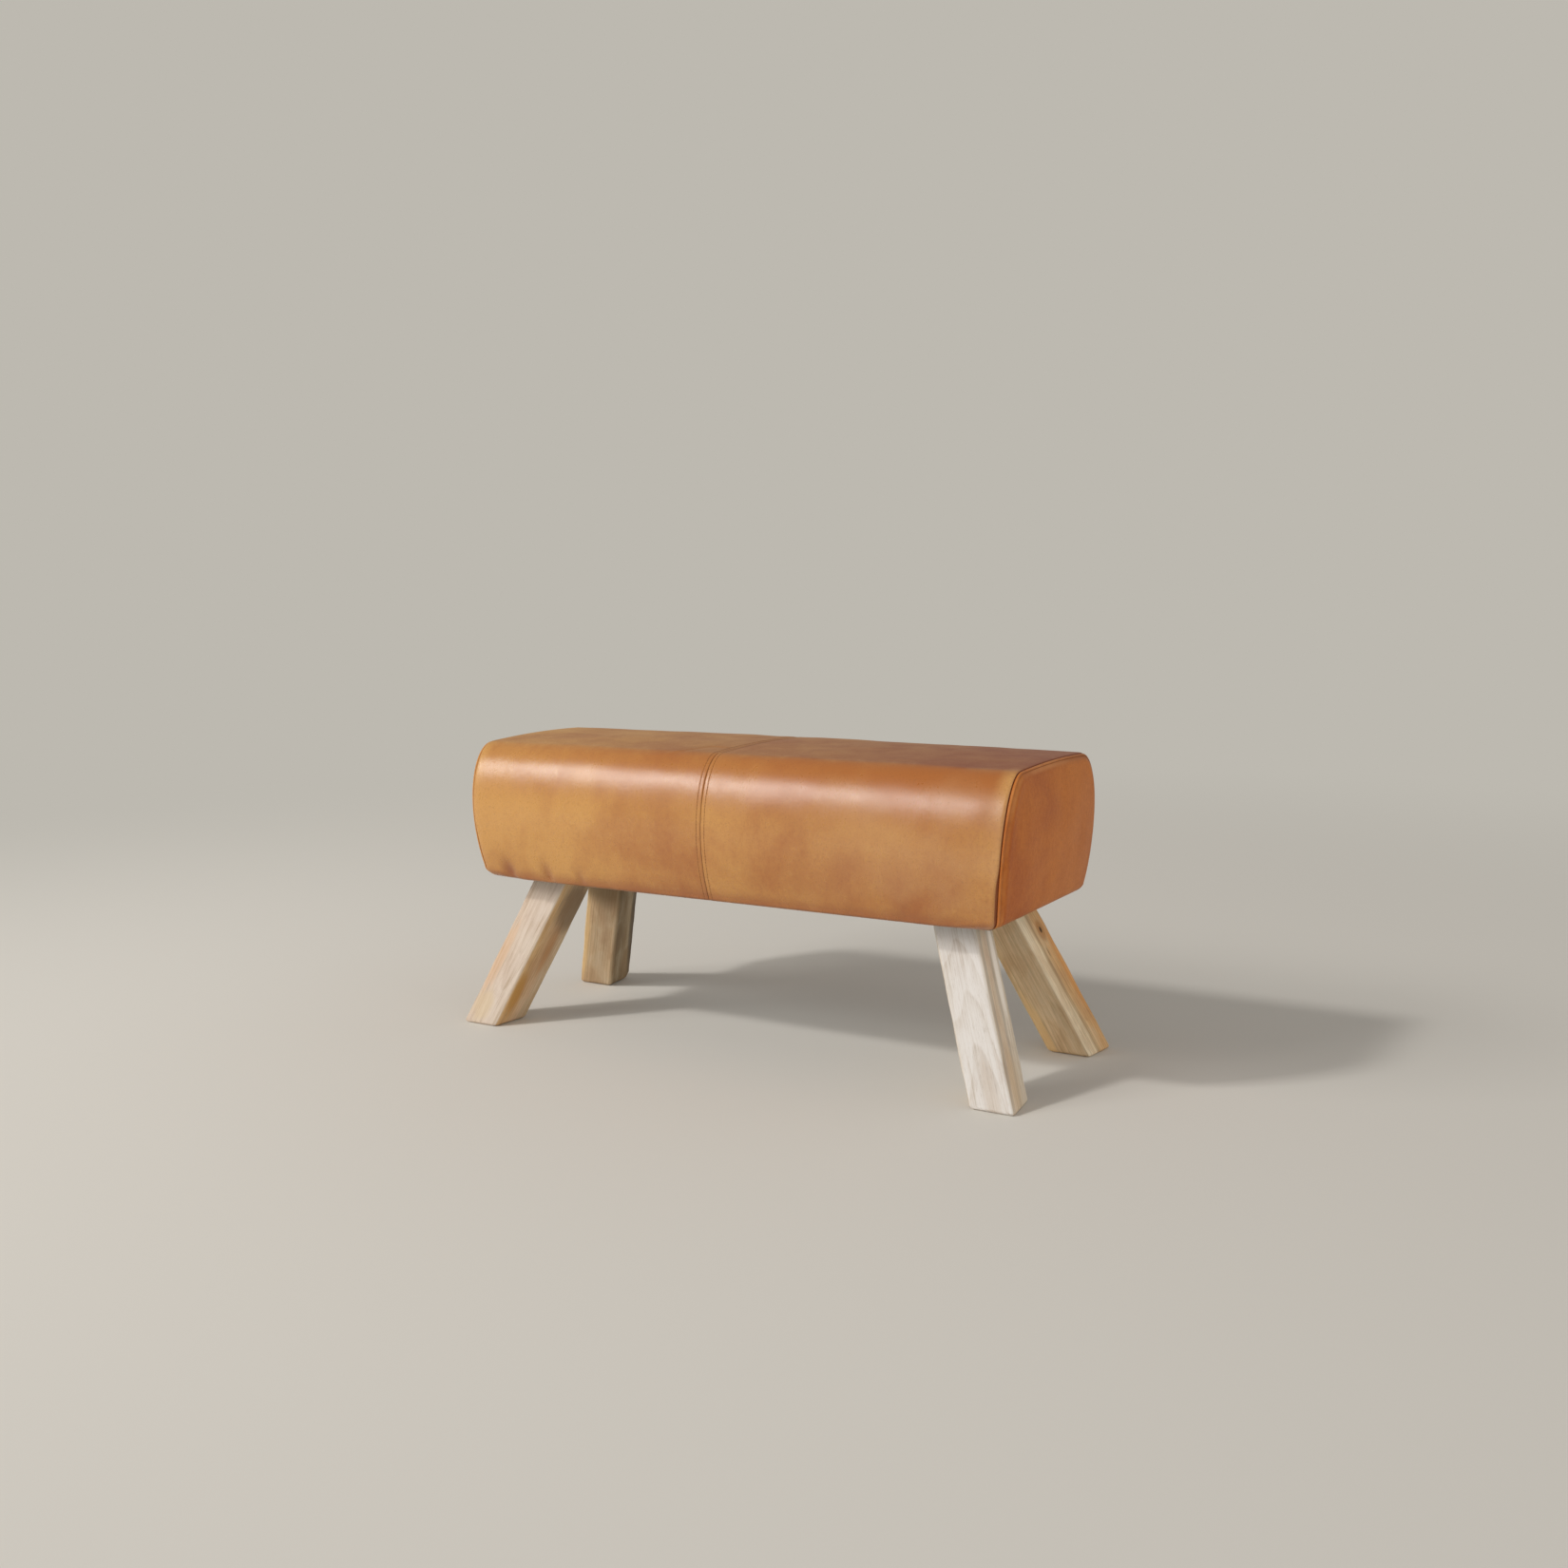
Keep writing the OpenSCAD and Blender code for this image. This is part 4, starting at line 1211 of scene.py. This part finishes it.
# Dust cover
# Black cloth stapled under the seat over the folded leather, and cut round the legs. It sags a little
# between its staples.

cover_margin = 0.014
cover_gap = 0.0015
cover_t = 0.0008
cover_pitch = 0.009
cover_clear = 0.0001
cover_taut = 0.012
cover_free = 0.07
cover_sag = 0.0022
cover_wave = 0.0012


def black_cloth():
    """Thin black non-woven cloth."""
    cloth = Finish("black cloth")
    fibres = cloth.cloud(cloth.place(), 900, 4, 0.7)
    dots = cloth.node("TexVoronoi", {"feature": "F1"}, {"Vector": cloth.place(), "Scale": 520})
    dots = dots.rise(0.25, 0.4)
    tone = cloth.blend(fibres, "1d1d1e", "333334")
    return cloth.cover(Base_Color=tone, Roughness=0.9, Normal=cloth.bump(dots + fibres, 0.0002, 0.6))


def leg_section(grow):
    """The corners of a leg's level section just under the seat, for the leg at the right and the back."""
    half = stock / 2 + grow
    signs = ((1, 1), (-1, 1), (-1, -1), (1, -1))
    return [on_stock(a * half, b * half, underside).xy for a, b in signs]


def faces_near(bm, centre):
    """The cover's faces round a leg."""
    return [f for f in bm.faces if (f.calc_center_median().xy - centre).length < stock * 1.2]


def dust_cover():
    half_x = low_x - cover_margin
    half_y = low_y - cover_margin
    bm = bmesh.new()
    bmesh.ops.create_grid(bm, x_segments=round(2 * half_x / cover_pitch),
                          y_segments=round(2 * half_y / cover_pitch), size=1)
    for v in bm.verts:
        v.co = Vector((v.co.x * half_x, v.co.y * half_y, underside - cover_t / 2 - cover_clear))
    holes = leg_section(cover_gap)
    for side_x in (-1, 1):
        for side_y in (-1, 1):
            corners = [Vector((c.x * side_x, c.y * side_y)) for c in holes]
            centre = sum(corners, Vector((0, 0))) / 4
            for k in range(4):
                start, end = corners[k], corners[(k + 1) % 4]
                way = (end - start).normalized()
                near = faces_near(bm, centre)
                geom = near + list({e for f in near for e in f.edges})
                geom += list({v for f in near for v in f.verts})
                bmesh.ops.bisect_plane(bm, geom=geom, plane_co=(*start, underside),
                                       plane_no=(way.y, -way.x, 0))
            inside = []
            for f in faces_near(bm, centre):
                c = f.calc_center_median().xy
                turns = [(corners[(k + 1) % 4] - corners[k]).cross(c - corners[k]) for k in range(4)]
                if all(t > 0 for t in turns) or all(t < 0 for t in turns):
                    inside.append(f)
            bmesh.ops.delete(bm, geom=inside, context="FACES")
    for v in bm.verts:
        x, y, _ = v.co
        free = fade(min(half_x - abs(x), half_y - abs(y)), cover_taut, cover_free)
        v.co.z -= free * (cover_sag + cover_wave * noise.noise(Vector((x * 7, y * 9, 2))))
    area = sum(f.calc_area() for f in bm.faces)
    bmesh.ops.recalc_face_normals(bm, faces=bm.faces[:])
    piece = shown("dust_cover", bm, black_cloth(), ["dust_cover"])
    thicken(piece, cover_t)
    2 * half_y
    return half_x, half_y


cover_half = dust_cover()

# Staples
# Zinc-plated wire staples, shot through the dust cover and the folded leather into the base board, in
# a row along each edge of the cover.

staple_w = 0.010
staple_wire = 0.0006
staple_step = 0.048
staple_inset = 0.006
staples_along = 8
staples_across = 2


def staples():
    half_x, half_y = (h - staple_inset for h in cover_half)
    bm = bmesh.new()
    z = underside - cover_t - staple_wire * 0.6
    places = []
    for k in range(-staples_along, staples_along + 1):
        places += [(k * staple_step, side * half_y, 0) for side in (-1, 1)]
    for k in range(-staples_across, staples_across + 1):
        places += [(side * half_x, k * staple_step, 90) for side in (-1, 1)]
    for x, y, turn in places:
        at = Matrix.Translation((x, y, z)) @ Matrix.Rotation(math.radians(turn), 4, "Z")
        size = Matrix.Diagonal((staple_w, staple_wire * 2, staple_wire, 1))
        made = bmesh.ops.create_cube(bm, size=1, matrix=at @ size)
        edges = list({e for v in made["verts"] for e in v.link_edges})
        bmesh.ops.bevel(bm, geom=edges, offset=staple_wire * 0.3, segments=1, profile=0.5,
                        affect="EDGES", material=-1)
    return shown("cover_staples", bm, zinc())


staples()

# Studio
# A plain pale floor that runs out into an even background, a wide soft lamp and an upper one at the
# front and the left, and light from the walls, more of it from the right and less from the ceiling.

floor_hue = "dedad2"
backdrop_hue = "bdb9b0"
floor_r = 16.0
floor_sides = 96
floor_drop = 0.0002
clear_r = 0.9
lamp_way = Vector((-0.557, -0.663, 0.50)).normalized()
lamp_far = 9.0
lamp_aim = Vector((0, 0, 0.3))
lamp_tint = (1.0, 0.985, 0.965)
lamp_wide = 4.7
lamp_high = 1.9
lamp_watts = 230
upper_way = Vector((-0.557, -0.663, 0.75)).normalized()
upper_size = 0.8
upper_watts = 280
wall_light = 0.98
ceiling_light = 0.25
right_more = 0.40
front_more = 0.10
mirror_dim = 0.20

bm = bmesh.new()
bmesh.ops.create_circle(bm, cap_ends=True, segments=floor_sides, radius=floor_r,
                        matrix=Matrix.Translation((0, 0, -floor_drop)))
ground = Finish("studio floor")
middle = ground.node("VectorMath", {"operation": "LENGTH"}, {0: ground.place()}, output="Value")
matt = ground.node("BsdfDiffuse", None, {"Color": floor_hue})
even = ground.node("Emission", None, {"Color": backdrop_hue})
seen = ground.node("LightPath", output="Is Camera Ray") * middle.rise(clear_r, clear_r * 4)
ground.node("OutputMaterial", None, {"Surface": ground.node("MixShader", None, {0: seen, 1: matt, 2: even})})
mesh = bpy.data.meshes.new("studio_floor")
bm.to_mesh(mesh)
bm.free()
mesh.materials.append(ground.made)
floor = bpy.data.objects.new("studio_floor", mesh)
bpy.context.scene.collection.objects.link(floor)

room = Finish("studio room", bpy.data.worlds)
way_x, way_y, way_z = room.parts(room.node("TexCoord", output="Generated"))
strength = wall_light - way_z.rise(0.05, 0.85) * (wall_light - ceiling_light)
strength = strength * (1 + way_x * right_more - way_y * front_more)
walls = room.node("Background", None, {"Color": "fbf8f4", "Strength": strength})
mirrored = room.node("LightPath", output="Is Glossy Ray")
backdrop = room.node("Background", None, {"Color": backdrop_hue, "Strength": 1 - mirrored * mirror_dim})
seen = room.node("LightPath", output="Is Camera Ray") + mirrored
room.node("OutputWorld", None, {"Surface": room.node("MixShader", None, {0: seen, 1: walls, 2: backdrop})})
bpy.context.scene.world = room.made


def lamp(name, way, wide, high, watts, glint):
    """A soft lamp, wide by high, aimed at the seat. Without glint it lights but shows no reflection."""
    data = bpy.data.lights.new(name, "AREA")
    data.shape = "RECTANGLE"
    data.size = wide
    data.size_y = high
    data.energy = watts
    data.color = lamp_tint
    made = bpy.data.objects.new(name, data)
    made.location = lamp_aim + way * lamp_far
    made.rotation_euler = (-way).to_track_quat("-Z", "Y").to_euler()
    made.visible_glossy = glint
    bpy.context.scene.collection.objects.link(made)


lamp("wide_lamp", lamp_way, lamp_wide, lamp_high, lamp_watts, True)
lamp("upper_lamp", upper_way, upper_size, upper_size, upper_watts, False)

# Camera
# The photograph's viewpoint: front and right of the seat, a little above it. Its place, turn and lens
# were fitted to the outlines in the photo, together with the sizes of the seat and the legs.

camera_at = (1.3906, -2.2066, 0.7700)
camera_yaw = math.radians(31.735)
camera_pitch = math.radians(7.940)
camera_roll = math.radians(-1.068)
lens_mm = 38.333
sensor_mm = 36

camera_data = bpy.data.cameras.new("camera")
camera_data.sensor_width = sensor_mm
camera_data.lens = lens_mm
camera = bpy.data.objects.new("camera", camera_data)
looking = Euler((math.pi / 2 - camera_pitch, 0, camera_yaw)).to_matrix().to_4x4()
camera.matrix_world = Matrix.Translation(camera_at) @ looking @ Matrix.Rotation(camera_roll, 4, "Z")
bpy.context.scene.collection.objects.link(camera)
bpy.context.scene.camera = camera
bpy.context.scene.view_settings.view_transform = "Standard"
